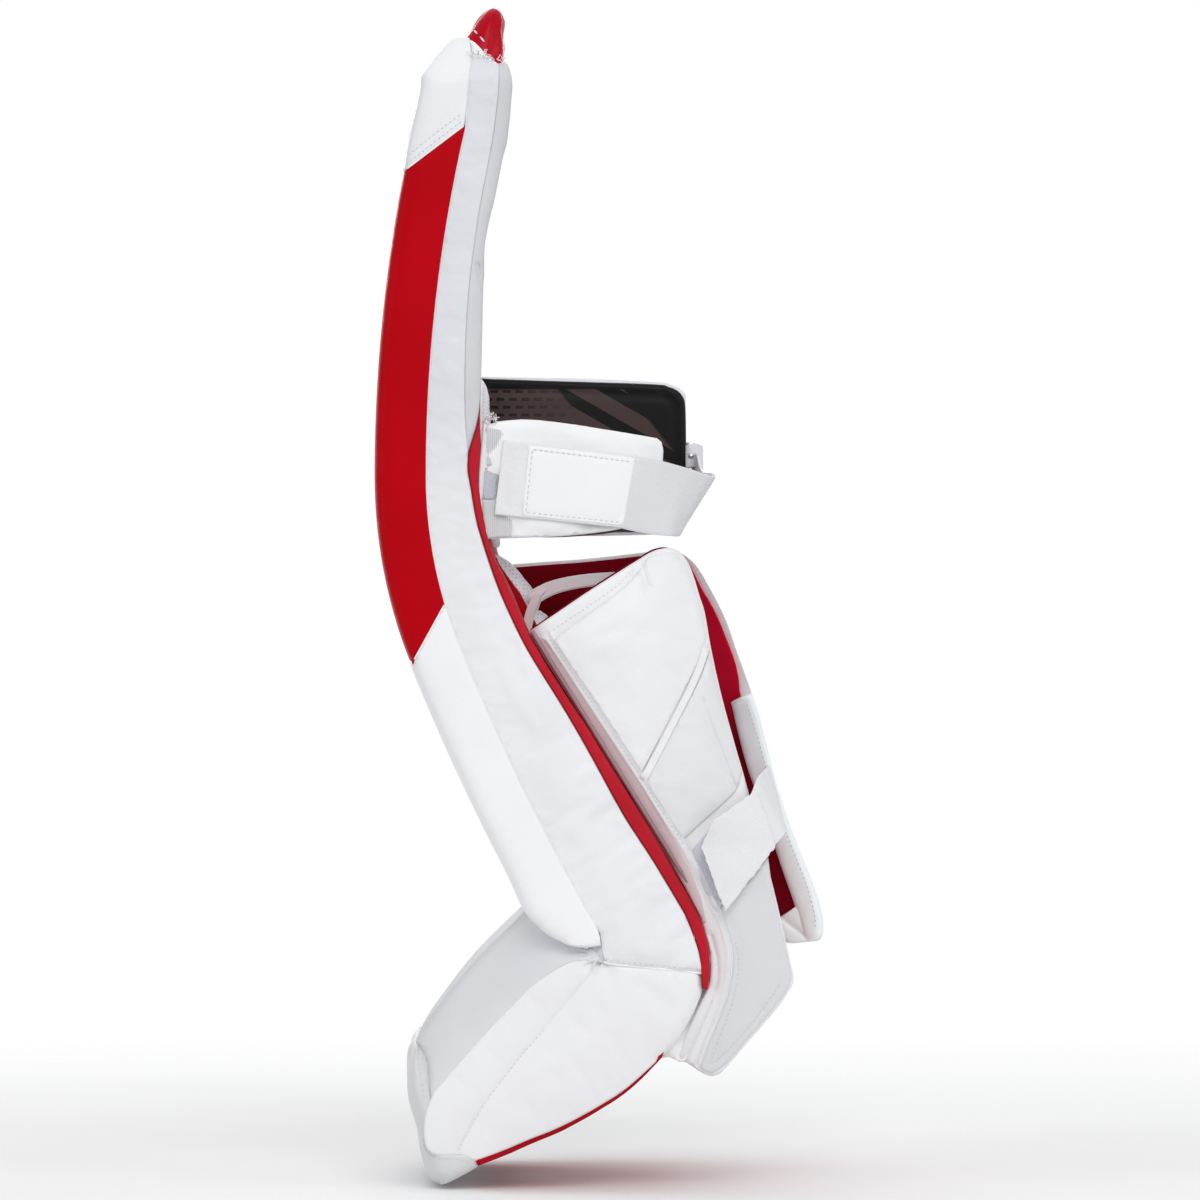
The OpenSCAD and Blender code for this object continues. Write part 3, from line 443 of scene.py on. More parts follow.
def puff(o, pinned, pressure=4.0, cap=5.0, grow=0.0):
    """Blows the piece up as cloth, holding the pinned points, and keeps the result."""
    frames, tension = 18, 15.0
    scene = bpy.context.scene
    group = o.vertex_groups.new(name="pin")
    for i in np.nonzero(pinned > 0.001)[0]:
        group.add([int(i)], float(pinned[i]), "REPLACE")
    m = o.modifiers.new("cloth", "CLOTH")
    s = m.settings
    s.quality, s.mass, s.bending_stiffness, s.air_damping = 6, 0.3, 0.6, 2
    s.tension_stiffness = s.compression_stiffness = tension
    s.shear_stiffness = tension / 3
    s.use_pressure, s.uniform_pressure_force = True, pressure
    s.vertex_group_mass, s.pin_stiffness = "pin", 1.0
    s.shrink_min = -grow
    s.effector_weights.gravity = 0
    m.collision_settings.use_collision = False
    m.point_cache.frame_start, m.point_cache.frame_end = 1, frames
    for k in range(1, frames + 1):
        scene.frame_set(k)
    done = o.evaluated_get(bpy.context.evaluated_depsgraph_get()).to_mesh()
    rest, blown = (np.array([list(v.co) for v in mesh.vertices]) for mesh in (o.data, done))
    move = blown - rest
    move *= np.minimum(1, cap * MM / np.maximum(np.linalg.norm(move, axis=1, keepdims=True), 1e-9))
    o.modifiers.remove(m)
    o.data.vertices.foreach_set("co", (rest + move).astype(np.float32).ravel())
    o.data.update()
    scene.frame_set(1)
    return o


def fit(o, body, *nodes, fill=None):
    """The solids a piece stands for, the body it rides on, and how firm it is, which is not used."""
    if nodes:
        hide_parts(*nodes)
    if body:
        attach(o, body)
    return o


def tree_of(*objects):
    """The objects' faces, for finding places on them, in millimetres."""
    verts, faces = [], []
    for o in objects:
        base = len(verts)
        verts += [tuple(p) for p in points_of(o)]
        faces += [tuple(base + i for i in f.vertices) for f in o.data.polygons]
    return BVHTree.FromPolygons(verts, faces)


def on_side(tree, path, step=2.0, lift=0.0):
    """Places on the near side at x and z along a path, and the ways the surface faces."""
    points, normals = [], []
    for x, z in spline(path, step):
        hit, n, _, _ = tree.ray_cast(Vector((x, OUTSIDE, z)), Vector((0, 1, 0)))
        if hit is None:
            continue
        n = np.array(n if n.y <= 0 else -n)
        points.append(np.array(hit) + lift * n)
        normals.append(n)
    return np.array(points), np.array(normals)


# Materials


class Mat:
    """A material with its node tree and a few short ways to add to it."""

    def __init__(self, name, rough=0.5, metal=0.0, specular=0.5):
        self.m = bpy.data.materials.new(name)
        self.m.use_nodes = True
        self.t = self.m.node_tree
        self.b = self.t.nodes["Principled BSDF"]
        self.b.inputs["Roughness"].default_value = rough
        self.b.inputs["Metallic"].default_value = metal
        self.b.inputs["Specular IOR Level"].default_value = specular
        self.co = self.t.nodes.new("ShaderNodeTexCoord").outputs["Object"]

    def node(self, kind, **values):
        """A node with settings or inputs set; an input's name has _ for each space."""
        n = self.t.nodes.new(kind)
        for k, v in values.items():
            if hasattr(n, k):
                setattr(n, k, v)
            else:
                n.inputs[k.replace("_", " ")].default_value = v
        return n

    def link(self, a, b):
        self.t.links.new(a, b)

    def feed(self, socket, value):
        if isinstance(value, tuple):
            socket.default_value = (*value, 1)
        elif isinstance(value, (int, float)):
            socket.default_value = value
        else:
            self.link(value, socket)

    def mapped(self, **how):
        """The piece's coordinates after a Rotation or a Scale."""
        n = self.node("ShaderNodeMapping", **how)
        self.link(self.co, n.inputs["Vector"])
        return n.outputs["Vector"]

    def axis(self, name):
        n = self.node("ShaderNodeSeparateXYZ")
        self.link(self.co, n.inputs["Vector"])
        return n.outputs[name]

    def noise(self, scale, detail=3.0, rough=0.5, stretch=None):
        n = self.node("ShaderNodeTexNoise", Scale=scale, Detail=detail, Roughness=rough)
        self.link(self.mapped(Scale=stretch) if stretch else self.co, n.inputs["Vector"])
        return n.outputs["Fac"]

    def cells(self, scale, **values):
        n = self.node("ShaderNodeTexVoronoi", Scale=scale, **values)
        self.link(self.co, n.inputs["Vector"])
        return n.outputs["Distance"]

    def wave(self, period, turn=0.0, profile="SIN"):
        """Ridges every period metres across x after a turn about y."""
        n = self.node("ShaderNodeTexWave", wave_profile=profile, Scale=2 * math.pi / (20 * period))
        self.link(self.mapped(Rotation=(0, turn, 0)), n.inputs["Vector"])
        return n.outputs["Fac"]

    def ramp(self, fac, low, high, a=0.0, b=1.0):
        n = self.node("ShaderNodeMapRange", From_Min=a, From_Max=b, To_Min=low, To_Max=high)
        self.link(fac, n.inputs["Value"])
        return n.outputs["Result"]

    def mix(self, fac, a, b):
        n = self.node("ShaderNodeMix", data_type="RGBA")
        self.link(fac, n.inputs["Factor"])
        self.feed(n.inputs[6], a)
        self.feed(n.inputs[7], b)
        return n.outputs[2]

    def mottle(self, scale, a, b, low=0.3, high=0.7):
        """Two tones in soft patches."""
        return self.mix(self.ramp(self.noise(scale, 4.0), 0, 1, low, high), a, b)

    def math(self, op, a, b):
        n = self.node("ShaderNodeMath", operation=op)
        self.feed(n.inputs[0], a)
        self.feed(n.inputs[1], b)
        return n.outputs[0]

    def color(self, out):
        self.link(out, self.b.inputs["Base Color"])

    def rough(self, out):
        self.link(out, self.b.inputs["Roughness"])

    def bump(self, height, distance, strength=1.0):
        n = self.node("ShaderNodeBump", Distance=distance, Strength=strength)
        self.link(height, n.inputs["Height"])
        old = self.b.inputs["Normal"].links
        if old:
            self.link(old[0].from_socket, n.inputs["Normal"])
        self.link(n.outputs["Normal"], self.b.inputs["Normal"])

    def weave(self, period=0.0011, depth=0.00012, turn=0.5, creases=0.0006):
        """Slack cloth of crossed threads; gives the threads' height."""
        thread = self.math("MULTIPLY", self.wave(period, turn), self.wave(period, turn + math.pi / 2))
        self.bump(self.noise(30.0, 3.0, 0.6), creases, 0.35)
        self.bump(thread, depth, 0.6)
        return thread


def leather(name, light, dark, rough, grain=0.00010, cell=520.0, creases=0.0004, specular=0.4, middle=None):
    """Grained leather; middle greys it towards the pad's middle: within, up to, and by how much."""
    k = Mat(name, rough, specular=specular)
    tone = k.mottle(14.0, dark, light, 0.32, 0.68)
    if middle:
        within, up_to, factor = middle
        n = k.node("ShaderNodeVectorMath", operation="SCALE")
        k.link(tone, n.inputs[0])
        k.link(k.ramp(k.math("ABSOLUTE", k.axis("Y"), 0.0), factor, 1.0, within, up_to), n.inputs["Scale"])
        tone = n.outputs["Vector"]
    k.color(tone)
    k.rough(k.ramp(k.noise(60.0, 3.0), rough - 0.05, rough + 0.07, 0.3, 0.7))
    k.bump(k.noise(22.0, 3.0, 0.55), creases, 0.35)
    k.bump(k.math("ADD", k.cells(cell, feature="SMOOTH_F1"), k.noise(cell * 2.1, 2.0)), grain, 0.5)
    return k.m


def woven(name, light, dark, rough, specular=0.3, **weave):
    k = Mat(name, rough, specular=specular)
    tone = k.mottle(16.0, dark, light)
    thread = k.weave(**weave)
    k.color(k.mix(k.ramp(thread, 0.0, 0.10), tone, tuple(c * 0.75 for c in dark)))
    k.rough(k.ramp(k.noise(90.0, 2.0), rough - 0.04, rough + 0.06, 0.3, 0.7))
    return k.m


COARSE = dict(grain=0.00013, cell=430)
white_leather = leather("white_leather", (0.845, 0.845, 0.86), (0.81, 0.81, 0.825), 0.46)
white_face = leather("white_face_leather", (0.83, 0.832, 0.85), (0.795, 0.80, 0.82), 0.44, **COARSE)
red_leather = leather(
    "red_leather", (0.485, 0.0004, 0.006), (0.44, 0.0003, 0.005), 0.46, grain=0.00008, specular=0.05
)
cap_leather = leather(
    "cap_leather", (0.47, 0.001, 0.014), (0.41, 0.001, 0.010), 0.28, grain=0.00005, creases=0.0012, specular=0.09
)
red_deep = leather("red_lining", (0.40, 0.001, 0.008), (0.33, 0.001, 0.006), 0.55, specular=0.10)
skirt_leather = leather("skirt_leather", (0.69, 0.695, 0.71), (0.655, 0.66, 0.68), 0.48, **COARSE)
# painted shade: the boot's face leather is greyer than the other white leather, standing for the shade on a face turned
# away from the lamps; it is greyer still across the flat middle
shaded_boot_leather = leather(
    "shaded_boot_face_leather", (0.735, 0.74, 0.765), (0.70, 0.705, 0.735), 0.48, middle=(0.080, 0.094, 0.80), **COARSE
)
# painted light: a lighter copy of the white leather, for the inner wing's shell and the heel's plies, which sit in
# shade, and for the thin welts and cords
painted_light_leather = leather("painted_light_leather", (0.93, 0.93, 0.94), (0.90, 0.90, 0.91), 0.46)
grey_leather = leather("grey_leather", (0.765, 0.767, 0.78), (0.73, 0.732, 0.745), 0.46)
# painted shade: a darker copy of the white leather for the toe cap
shaded_toe_leather = leather("shaded_toe_leather", (0.68, 0.682, 0.695), (0.645, 0.647, 0.66), 0.46)
# painted light: a lighter copy of the white leather for the far wing's binding and foot flap, which sit in shade,
# tinted cyan against the red light thrown on them
painted_light_binding_leather = leather("painted_light_binding_leather", (0.91, 0.965, 0.97), (0.88, 0.935, 0.94), 0.46)
# painted light: a lighter copy of the white leather, for the shin's roll and the knee tab's patch, brighter than the
# thigh's roll
lit_white_leather = leather("lit_white_leather", (0.90, 0.90, 0.91), (0.87, 0.87, 0.88), 0.46)
# painted shade: white leather coloured a dusky pink for the wing pipings in the dark line beside the red band, with a
# painted red reflection
painted_shade_piping_leather = leather("painted_shade_piping_leather", (0.40, 0.25, 0.27), (0.34, 0.20, 0.22), 0.5)
# painted shade: white leather coloured a greyish pink for the strips beside the wing hinges, standing for their shade
# and the red band's reflected light
painted_shade_pink_leather = leather("painted_shade_pink_leather", (0.70, 0.585, 0.605), (0.66, 0.545, 0.565), 0.5)

TAPE = dict(period=0.0016, depth=0.0002, turn=0.3, creases=0.0003)
THREAD = dict(period=0.0006, depth=0.00005)
white_nylon = woven("white_nylon", (0.80, 0.805, 0.84), (0.755, 0.76, 0.80), 0.58)
wrap_nylon = woven("wrap_nylon", (0.92, 0.922, 0.935), (0.885, 0.887, 0.90), 0.58)
# painted shade: the mesh seen between the knee wrap's elastics, coloured a dark lavender grey for the shade in that gap
shaded_lavender_mesh = woven("shaded_lavender_mesh", (0.56, 0.56, 0.63), (0.46, 0.46, 0.53), 0.6, period=0.0018, depth=0.0003)
# painted shade: a greyer copy of the white nylon for the thigh's rear roll and back panel, which face away from the
# lamps
shaded_rear_nylon = woven("shaded_rear_nylon", (0.66, 0.665, 0.69), (0.60, 0.605, 0.63), 0.58)
red_nylon = woven("red_nylon", (0.50, 0.008, 0.022), (0.42, 0.006, 0.016), 0.50, specular=0.15)
webbing = woven("white_webbing", (0.82, 0.82, 0.84), (0.78, 0.78, 0.80), 0.55, **TAPE)
knee_webbing = woven("knee_webbing", (0.745, 0.747, 0.77), (0.705, 0.707, 0.73), 0.55, **TAPE)
sling_cloth = woven("sling_cloth", (0.80, 0.75, 0.78), (0.73, 0.68, 0.71), 0.58)
thread_bright = woven("bright_thread", (0.93, 0.93, 0.94), (0.88, 0.88, 0.90), 0.6, **THREAD)
thread_white = woven("thread", (0.70, 0.70, 0.73), (0.62, 0.62, 0.66), 0.6, **THREAD)


def make_strip_cloth():
    """White side cloth with painted shade: a little greyer towards the crown."""
    k = Mat("strip_nylon", 0.58, specular=0.3)
    low = k.mottle(16.0, (0.81, 0.812, 0.84), (0.85, 0.852, 0.88))
    high = k.mottle(16.0, (0.71, 0.715, 0.75), (0.75, 0.755, 0.79))
    k.color(k.mix(k.ramp(k.axis("Z"), 0.0, 1.0, 0.02, 0.16), low, high))
    k.weave()
    return k.m


def make_shaded_lining():
    """Red cloth with painted shade: it darkens towards the foot of the wing and towards the hinge at its front."""
    k = Mat("shaded_red_lining_cloth", 0.6, specular=0.03)
    tone = k.mottle(16.0, (0.55, 0.006, 0.030), (0.48, 0.004, 0.022))
    # painted shade: darker low down and towards the front, near the hinge
    low = k.ramp(k.axis("Z"), 1.0, 0.0, -0.115, -0.06)
    front = k.ramp(k.axis("X"), 1.0, 0.0, 0.035, 0.08)
    k.color(k.mix(k.math("MAXIMUM", low, front), tone, (0.15, 0.0015, 0.007)))
    k.weave()
    return k.m


def make_mesh():
    k = Mat("white_mesh", 0.65, specular=0.25)
    cell = k.cells(360.0, feature="F1", Randomness=0.25)
    tone = k.mix(k.noise(20.0), (0.90, 0.88, 0.93), (0.95, 0.93, 0.98))
    k.color(k.mix(k.ramp(cell, 1.0, 0.0, 0.12, 0.36), tone, (0.50, 0.48, 0.52)))
    k.bump(cell, 0.0006, 0.7)
    k.bump(k.noise(25.0, 3.0), 0.0008, 0.3)
    return k.m


def make_elastic():
    k = Mat("elastic", 0.6, specular=0.25)
    tone = k.mix(k.noise(30.0, 4.0), (0.70, 0.69, 0.70), (0.78, 0.77, 0.78))
    k.color(k.mix(k.ramp(k.wave(0.0016), 0.0, 0.45), tone, (0.42, 0.41, 0.43)))
    k.bump(k.wave(0.0009, math.pi / 2), 0.00012, 0.6)
    k.bump(k.noise(400.0, 2.0), 0.0001, 0.4)
    return k.m


def make_pile(name, dark, light):
    k = Mat(name, 0.8, specular=0.15)
    fine = k.noise(900.0, 4.0, 0.7)
    k.color(k.mix(k.ramp(fine, 0, 1, 0.3, 0.7), dark, light))
    k.bump(fine, 0.0007, 0.8)
    k.bump(k.noise(120.0, 3.0), 0.0008, 0.5)
    return k.m


def make_liner():
    """Black film with a plain print: a brown field with rows of black dashes that thin out towards slanting bars."""
    k = Mat("black_liner", 0.42, specular=0.10)
    x, z = k.axis("X"), k.axis("Z")
    brick = k.node("ShaderNodeTexBrick", offset=0.5, Scale=1.0, Mortar_Size=0.0019, Mortar_Smooth=0.05)
    brick.inputs["Brick Width"].default_value, brick.inputs["Row Height"].default_value = 0.0098, 0.0062
    k.link(k.mapped(Rotation=(math.pi / 2, 0, 0)), brick.inputs["Vector"])
    dash = k.math("SUBTRACT", 1.0, brick.outputs["Fac"])
    dash = k.math("MULTIPLY", dash, k.ramp(x, 1.0, 0.0, -0.085, -0.012))
    slope = k.math("ADD", x, k.math("MULTIPLY", z, 0.8))
    bars = k.ramp(k.wave(0.021, 1.05, profile="TRI"), 0.0, 1.0, 0.42, 0.46)
    plain = k.ramp(slope, 1.0, 0.0, 0.098, 0.101)
    barred = k.math("MULTIPLY", k.ramp(slope, 1.0, 0.0, 0.150, 0.153), bars)
    field = k.math("MULTIPLY", k.math("MAXIMUM", plain, barred), k.ramp(z, 1.0, 0.0, 0.1655, 0.1665))
    ink = k.math("MULTIPLY", field, k.math("SUBTRACT", 1.0, dash))
    base = k.mix(k.noise(18.0, 3.0), (0.005, 0.005, 0.0055), (0.009, 0.009, 0.0095))
    k.color(k.mix(ink, base, (0.064, 0.042, 0.041)))
    k.bump(ink, 0.00012, 0.5)
    k.bump(k.noise(700.0, 2.0), 0.00006, 0.4)
    return k.m


def make_foam():
    k = Mat("foam", 0.85, specular=0.1)
    cell = k.cells(600.0)
    k.color(k.mix(k.ramp(cell, 0, 1, 0.1, 0.5), (0.36, 0.37, 0.39), (0.27, 0.28, 0.30)))
    k.bump(cell, 0.0004, 0.6)
    return k.m


def make_steel():
    k = Mat("steel", 0.3, metal=1.0)
    streak = k.noise(500.0, 3.0, 0.6, (1, 1, 0.06))
    k.color(k.mix(streak, (0.46, 0.46, 0.48), (0.56, 0.56, 0.58)))
    k.rough(k.ramp(streak, 0.22, 0.38))
    k.bump(streak, 0.00004, 0.5)
    return k.m


strip_nylon, shaded_lining_cloth, mesh_fabric, elastic = make_strip_cloth(), make_shaded_lining(), make_mesh(), make_elastic()
liner, foam, steel = make_liner(), make_foam(), make_steel()
pile = make_pile("loop_pile", (0.80, 0.80, 0.815), (0.87, 0.87, 0.88))
# painted shadow: the loop patch's pile beside the calf tab, coloured a greyer lavender for the tab's shadow on it
shaded_patch_pile = make_pile("shaded_patch_pile", (0.60, 0.595, 0.67), (0.68, 0.675, 0.74))


# The pad: rolls, side strips and backs

SIDES = ((-1, "outer"), (1, "inner"))
CROWN_Z, CORNER = 415.0, 22.0
CROWN_Y = -112.0  # where the crown's near corner comes after it is narrowed
SEAM_TOP, SEAM_LOW = (-229.0, -273.0), (146.0, 110.0)  # the stripe's two ends, at the face and behind it
ROLL_Y = NEAR - 0.3


def narrow_top(o):
    """The pad's crown is narrower than the pad."""
    v = points_of(o)
    half = NEAR - np.clip(v[:, 2] - (CROWN_Z - CORNER), 0, 2 * CORNER)
    v[:, 1] *= half / NEAR
    return set_points(o, v)


def soft_crown(amount, runs):
    def move(poly, ids, t, y):
        return np.where(np.isin(ids, runs), amount * (1 - (2 * t - 1) ** 4), 0.0)

    return move


thigh_face_run = outline(
    px([(403.5, 171), (408.5, 140), (415.5, 110), (421.5, 81)]),
    px([(421.5, 81), (425, 73), (437, 55), (449, 39.5)], y=CROWN_Y),
    px([(449, 39.5), (458, 36.5), (469, 37)], y=CROWN_Y),
    np.vstack([px([(469, 37)], y=CROWN_Y), px([(471, 52), (470, 66), (467.5, 95), (464.5, 125)])]),
    px([(464.5, 125), (403.5, 171)]),
)
thigh_face = slab(
    "thigh_face_roll", thigh_face_run, -ROLL_Y, ROLL_Y, white_face,
    near={0: 9, 1: 7, 2: 4, 3: 0.9, 4: 1.0}, bulge=(0.8, 0.8), crown=soft_crown(3.0, [0, 1]),
)
fit(narrow_top(thigh_face), "thigh", "thigh_face")

stripe_run = outline(
    along(SEAM_TOP[0], SEAM_LOW[0], 0.0, 20),
    np.array([at(SEAM_LOW[0], 0.0), at(SEAM_LOW[1], FACE_T)]),
    along(SEAM_LOW[1], SEAM_TOP[1], FACE_T, 20),
    np.array([at(SEAM_TOP[1], FACE_T), at(SEAM_TOP[0], 0.0)]),
)
stripe = slab(
    "front_stripe_roll", stripe_run, -NEAR, NEAR, red_leather,
    near={0: 9, 1: 1.0, 2: 0.9, 3: 1.0}, bulge=(0.6, 0.6), crown=soft_crown(3.0, [0]), step=6,
)
fit(stripe, None, "thigh_stripe", "knee_stripe")

ROLL_END = px([(523, 905), (528, 914), (536, 923), (549, 935), (564, 943.5), (581, 947.5), (601, 946)])
shin_face_run = outline(
    np.vstack([along(SEAM_LOW[0], 338.0, 0.0, 20)[:-1], ROLL_END[:1]]),
    ROLL_END[:5],
    ROLL_END[4:],
    np.vstack([ROLL_END[-1:], along(390.0, SEAM_LOW[1], FACE_T, 20)]),
    np.array([at(SEAM_LOW[1], FACE_T), at(SEAM_LOW[0], 0.0)]),
)
# the shin's roll is lightened as painted light
shin_face = slab(
    "shin_face_roll", shin_face_run, -ROLL_Y, ROLL_Y, lit_white_leather,
    near={0: 10, 1: 9, 2: 3, 3: 0.9, 4: 1.0}, bulge=(0.8, 0.8), crown=soft_crown(4.0, [0, 1, 2]),
)
fit(shin_face, "shin", "shin_face")

# a thin white welt along the stripe's two seams
WELTS = {
    "thigh": px([(407, 168.5), (463.5, 125.8)]),
    "shin": np.array([at(SEAM_LOW[0] - 3.0, 3.0), at(SEAM_LOW[1], FACE_T - 0.5)]),
}
for body, ends in WELTS.items():
    for side, which in SIDES:
        path = xyz(spline(ends, 4), side * (NEAR - 0.1))
        fit(tube(f"{body}_seam_welt_{which}", path, 0.75, painted_light_leather, sides=6), body, fill=1.0)

# the cover that closes the crown, and its tucked-in corners
CREST = px([(469.5, 37.5), (479, 46), (489, 57.5), (498, 64), (503, 72)], y=CROWN_Y)
CREST_LOW = px([(470, 72), (486, 80), (498, 84)])
CREST_HALF, TUCK_Y = 125.0, (112.0, NEAR - 1.8)


def crest_waves(poly, ids, t, y):
    return np.where(ids == 0, 1.2 * (1 - (2 * t - 1) ** 8) + 0.5 * np.sin(y / 13 + poly[:, 0] / 7), 0.0)


crest = slab(
    "thigh_crown_cover", between(CREST, CREST_LOW, step=3), -CREST_HALF, CREST_HALF, white_face,
    step=3, rows=48, crown=crest_waves,
)
fit(narrow_top(crest), "thigh", fill=0.8)
tuck_run = closed(
    px, [(479, 46), (489, 57), (490, 66)], [(478, 64), (470, 62)], [(471, 50), (469.5, 38)], step=3
)
for side, which in SIDES:
    y = sorted(side * edge for edge in TUCK_Y)
    tuck = slab(f"thigh_crown_tuck_{which}", tuck_run, *y, white_face, step=3, rows=6)
    fit(narrow_top(tuck), "thigh", fill=0.8)

# the side strips: woven cloth on the outer side, from the crown to the ankle
STRIP_OUT, STRIP_IN = NEAR - 1.0, 126.3
FRONT_TOP = px([(471, 54.5), (469.5, 77), (467, 101)])
STRIP_FRONT = np.vstack([FRONT_TOP, along(-272, 392, FACE_T + 0.25, 16)])
STRIP_FOOT = px([(602, 949), (604.5, 959), (612, 964), (640, 967), (675, 970.5), (702, 973)])
THIGH_REAR = px([
    (505, 59), (509, 66), (512, 80), (511.5, 95), (507, 140), (503, 155),
    (494, 200), (490, 215), (484.5, 245), (484, 275), (483, 290), (480.5, 393),
])
KNEE_REAR = px([
    (480.5, 393), (479.5, 410), (477, 425), (472.5, 440), (468, 455),
    (467.5, 470), (470, 485), (472.5, 500), (475, 515), (478.5, 530),
])
SHIN_REAR = px([
    (478.5, 530), (483, 545), (493, 575), (505, 605), (527, 650), (564, 710), (590, 755),
    (623, 815), (652, 860), (679, 905), (687, 920), (698, 950), (702, 973),
])
# the outer strip's thigh is in two widths: a rolled rear part starts at this seam
ROLL_SEAM = px([
    (498.5, 62), (498.8, 80), (497, 105), (491, 148), (480, 206),
    (471, 268), (466.5, 320), (464.8, 375), (465.2, 415), (468, 455),
])
# seen from the camera the far side's rear edge falls on the near one's
FAR_KNEE_REAR = np.vstack([px([(480, 393), (478.5, 410), (476, 425), (472, 440)], y=126.0), KNEE_REAR[6:]])
FAR_THIGH_REAR = px(
    [(512, 90), (511, 102), (509, 125), (497, 185), (484.5, 245), (483.5, 275), (481, 360)], y=126.0
)


def strip_outline(knee_rear, thigh_rear, crown):
    return outline(
        STRIP_FRONT,
        np.vstack([STRIP_FRONT[-1:], STRIP_FOOT]),
        SHIN_REAR[::-1],
        knee_rear[::-1],
        np.vstack([knee_rear[:1], thigh_rear[::-1]]),
        np.vstack([thigh_rear[:1], crown]),
    )


STRIP_CROWN = px([(498, 60), (487, 58.5), (479, 55.5), (471, 54.5)])
near_strip_run = strip_outline(KNEE_REAR[4:], ROLL_SEAM[:-1], STRIP_CROWN[1:])
far_strip_run = strip_outline(FAR_KNEE_REAR, FAR_THIGH_REAR, STRIP_CROWN)
roll_run = outline(ROLL_SEAM, KNEE_REAR[4::-1], THIGH_REAR[::-1], np.vstack([THIGH_REAR[:1], ROLL_SEAM[:1]]))


def puckers(v, d):
    """Slanting drawn-up creases of the cloth beside the lower rear seam, and slack at the thigh's rear edge."""
    z, far, rear = v[:, 1], line_dist(v, SHIN_REAR), line_dist(v, THIGH_REAR)
    run, slant = v @ np.array([0.52, -0.85]), v @ np.array([0.66, -0.75])
    zone = rise(run - 60, 70) * np.exp(-far / 26)
    wave = np.sin(slant / 4.2 + 1.1 * np.sin(run / 23)) * (0.6 + 0.4 * np.sin(run / 17))
    wave = wave + 0.35 * np.sin(slant / 2.1 + far / 9 + 1.3)
    slack = np.sin(z / 11 + 1.5 * np.sin(z / 37)) + 0.6 * np.sin(z / 5.1 + rear / 6)
    return 1.9 * zone * wave * rise(far, 3) + 0.8 * rise(z - 60, 60) * np.exp(-rear / 7) * slack


def side_strip(name, sign, material, *nodes):
    radii = {0: 0.9, 1: (16.0, 4.2), 2: 1.8, 3: 3.0, 4: 0.8 if sign < 0 else 10.0, 5: 3.0}
    if sign < 0:
        run, look = near_strip_run, dict(near=radii, far=0.4, bulge=(1.0, 0), step=4, relief=puckers)
    else:
        run, look = far_strip_run, dict(near=0.4, far=radii, bulge=(0, 1.0))
    o = slab(name, run, *sorted((sign * STRIP_OUT, sign * STRIP_IN)), material, rows=3, **look)
    v = points_of(o)
    edge = np.exp(-rim_dist(v[:, [0, 2]], run[0]) / 5.0)
    puff(o, np.where(sign * v[:, 1] > STRIP_IN + 1.2, edge, 1.0), pressure=3.0, cap=3.0, grow=0.015)
    return fit(narrow_top(o), None, *nodes, fill=0.7)


outer_strip = side_strip("outer_side_strip", -1, strip_nylon, "thigh_outer_sidewall", "outer_sidewall")
inner_strip = side_strip("inner_side_strip", 1, white_leather, "thigh_inner_sidewall", "inner_sidewall")

REAR_FOLD = spline(px([(477.5, 264), (480, 275), (483, 290)]), 2)


def roll_relief(v, d):
    """The strip's slack, and one short deep fold at the rear edge."""
    return puckers(v, d) - 3.2 * bell(line_dist(v, REAR_FOLD), 1.5)


# the rear roll's grey cloth is painted shade
rear_roll = slab(
    "outer_strip_rear_roll", roll_run, -STRIP_OUT, -STRIP_IN, shaded_rear_nylon,
    near={0: 0.8, 1: 6.0, 2: 9.0, 3: 3.0}, far=0.4, rows=3, step=3.5,
    relief=roll_relief, lines=[(REAR_FOLD, (-1.6, -0.8, 0.0, 0.8, 1.6))],
)
fit(narrow_top(rear_roll), None, fill=0.7)

# a cord fills the seam between the rolls and each side strip
seam_cords = []
for side, which in SIDES:
    path = spline(np.vstack([FRONT_TOP, along(-272, 388, FACE_T + 0.1, 16)]), 4)
    cord = tube(f"{which}_seam_cord", xyz(path, side * (NEAR - 1.25)), 0.85, strip_nylon, sides=6)
    seam_cords.append(fit(narrow_top(cord), None, fill=1.0))


def bend_at_break(o):
    """Bakes the piece's place into its points."""
    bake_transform(o)


for o in (stripe, outer_strip, inner_strip, rear_roll, *seam_cords):
    bend_at_break(o)

# foam inside, which also stands for the stiff sheets, stays out of sight
CORE_D, CORE = FACE_T + 3.5, dict(near=1.5, step=16, rows=4)
CORE_TOP, CORE_FOOT, CORE_HALF, CORE_ROOM = BREAK + 1, 392.0, 125.4, 6
THIGH_CORE_TOP, THIGH_CORE_D, THIGH_CORE_HALF = -296.0, 50.0, 120.0
THIGH_CORE_FOOT = BREAK - 6, BREAK - 16  # at its front and at its back


def core_back(s):
    return wall_d(s) - CORE_ROOM


shin_core_run = outline(
    along(CORE_TOP, CORE_FOOT, CORE_D, 20),
    along(CORE_FOOT, CORE_FOOT + 0.5, core_back, 1),
    along(CORE_FOOT + 0.5, CORE_TOP, core_back, 20),
    np.array([at(CORE_TOP, core_back(CORE_TOP)), at(CORE_TOP, CORE_D)]),
)
shin_core = slab("shin_core_foam", shin_core_run, -CORE_HALF, CORE_HALF, foam, **CORE)
fit(shin_core, "shin", "shin_core", "shin_board", fill=1.0)
thigh_core_run = outline(
    along(THIGH_CORE_FOOT[0], THIGH_CORE_TOP, CORE_D, 20),
    np.array([at(THIGH_CORE_TOP, CORE_D), at(THIGH_CORE_TOP - 4, THIGH_CORE_D)]),
    np.vstack([
        at(THIGH_CORE_TOP - 4, THIGH_CORE_D), along(THIGH_CORE_TOP, THIGH_CORE_FOOT[1], THIGH_CORE_D, 20)
    ]),
    np.array([at(THIGH_CORE_FOOT[1], THIGH_CORE_D), at(THIGH_CORE_FOOT[0], CORE_D)]),
)
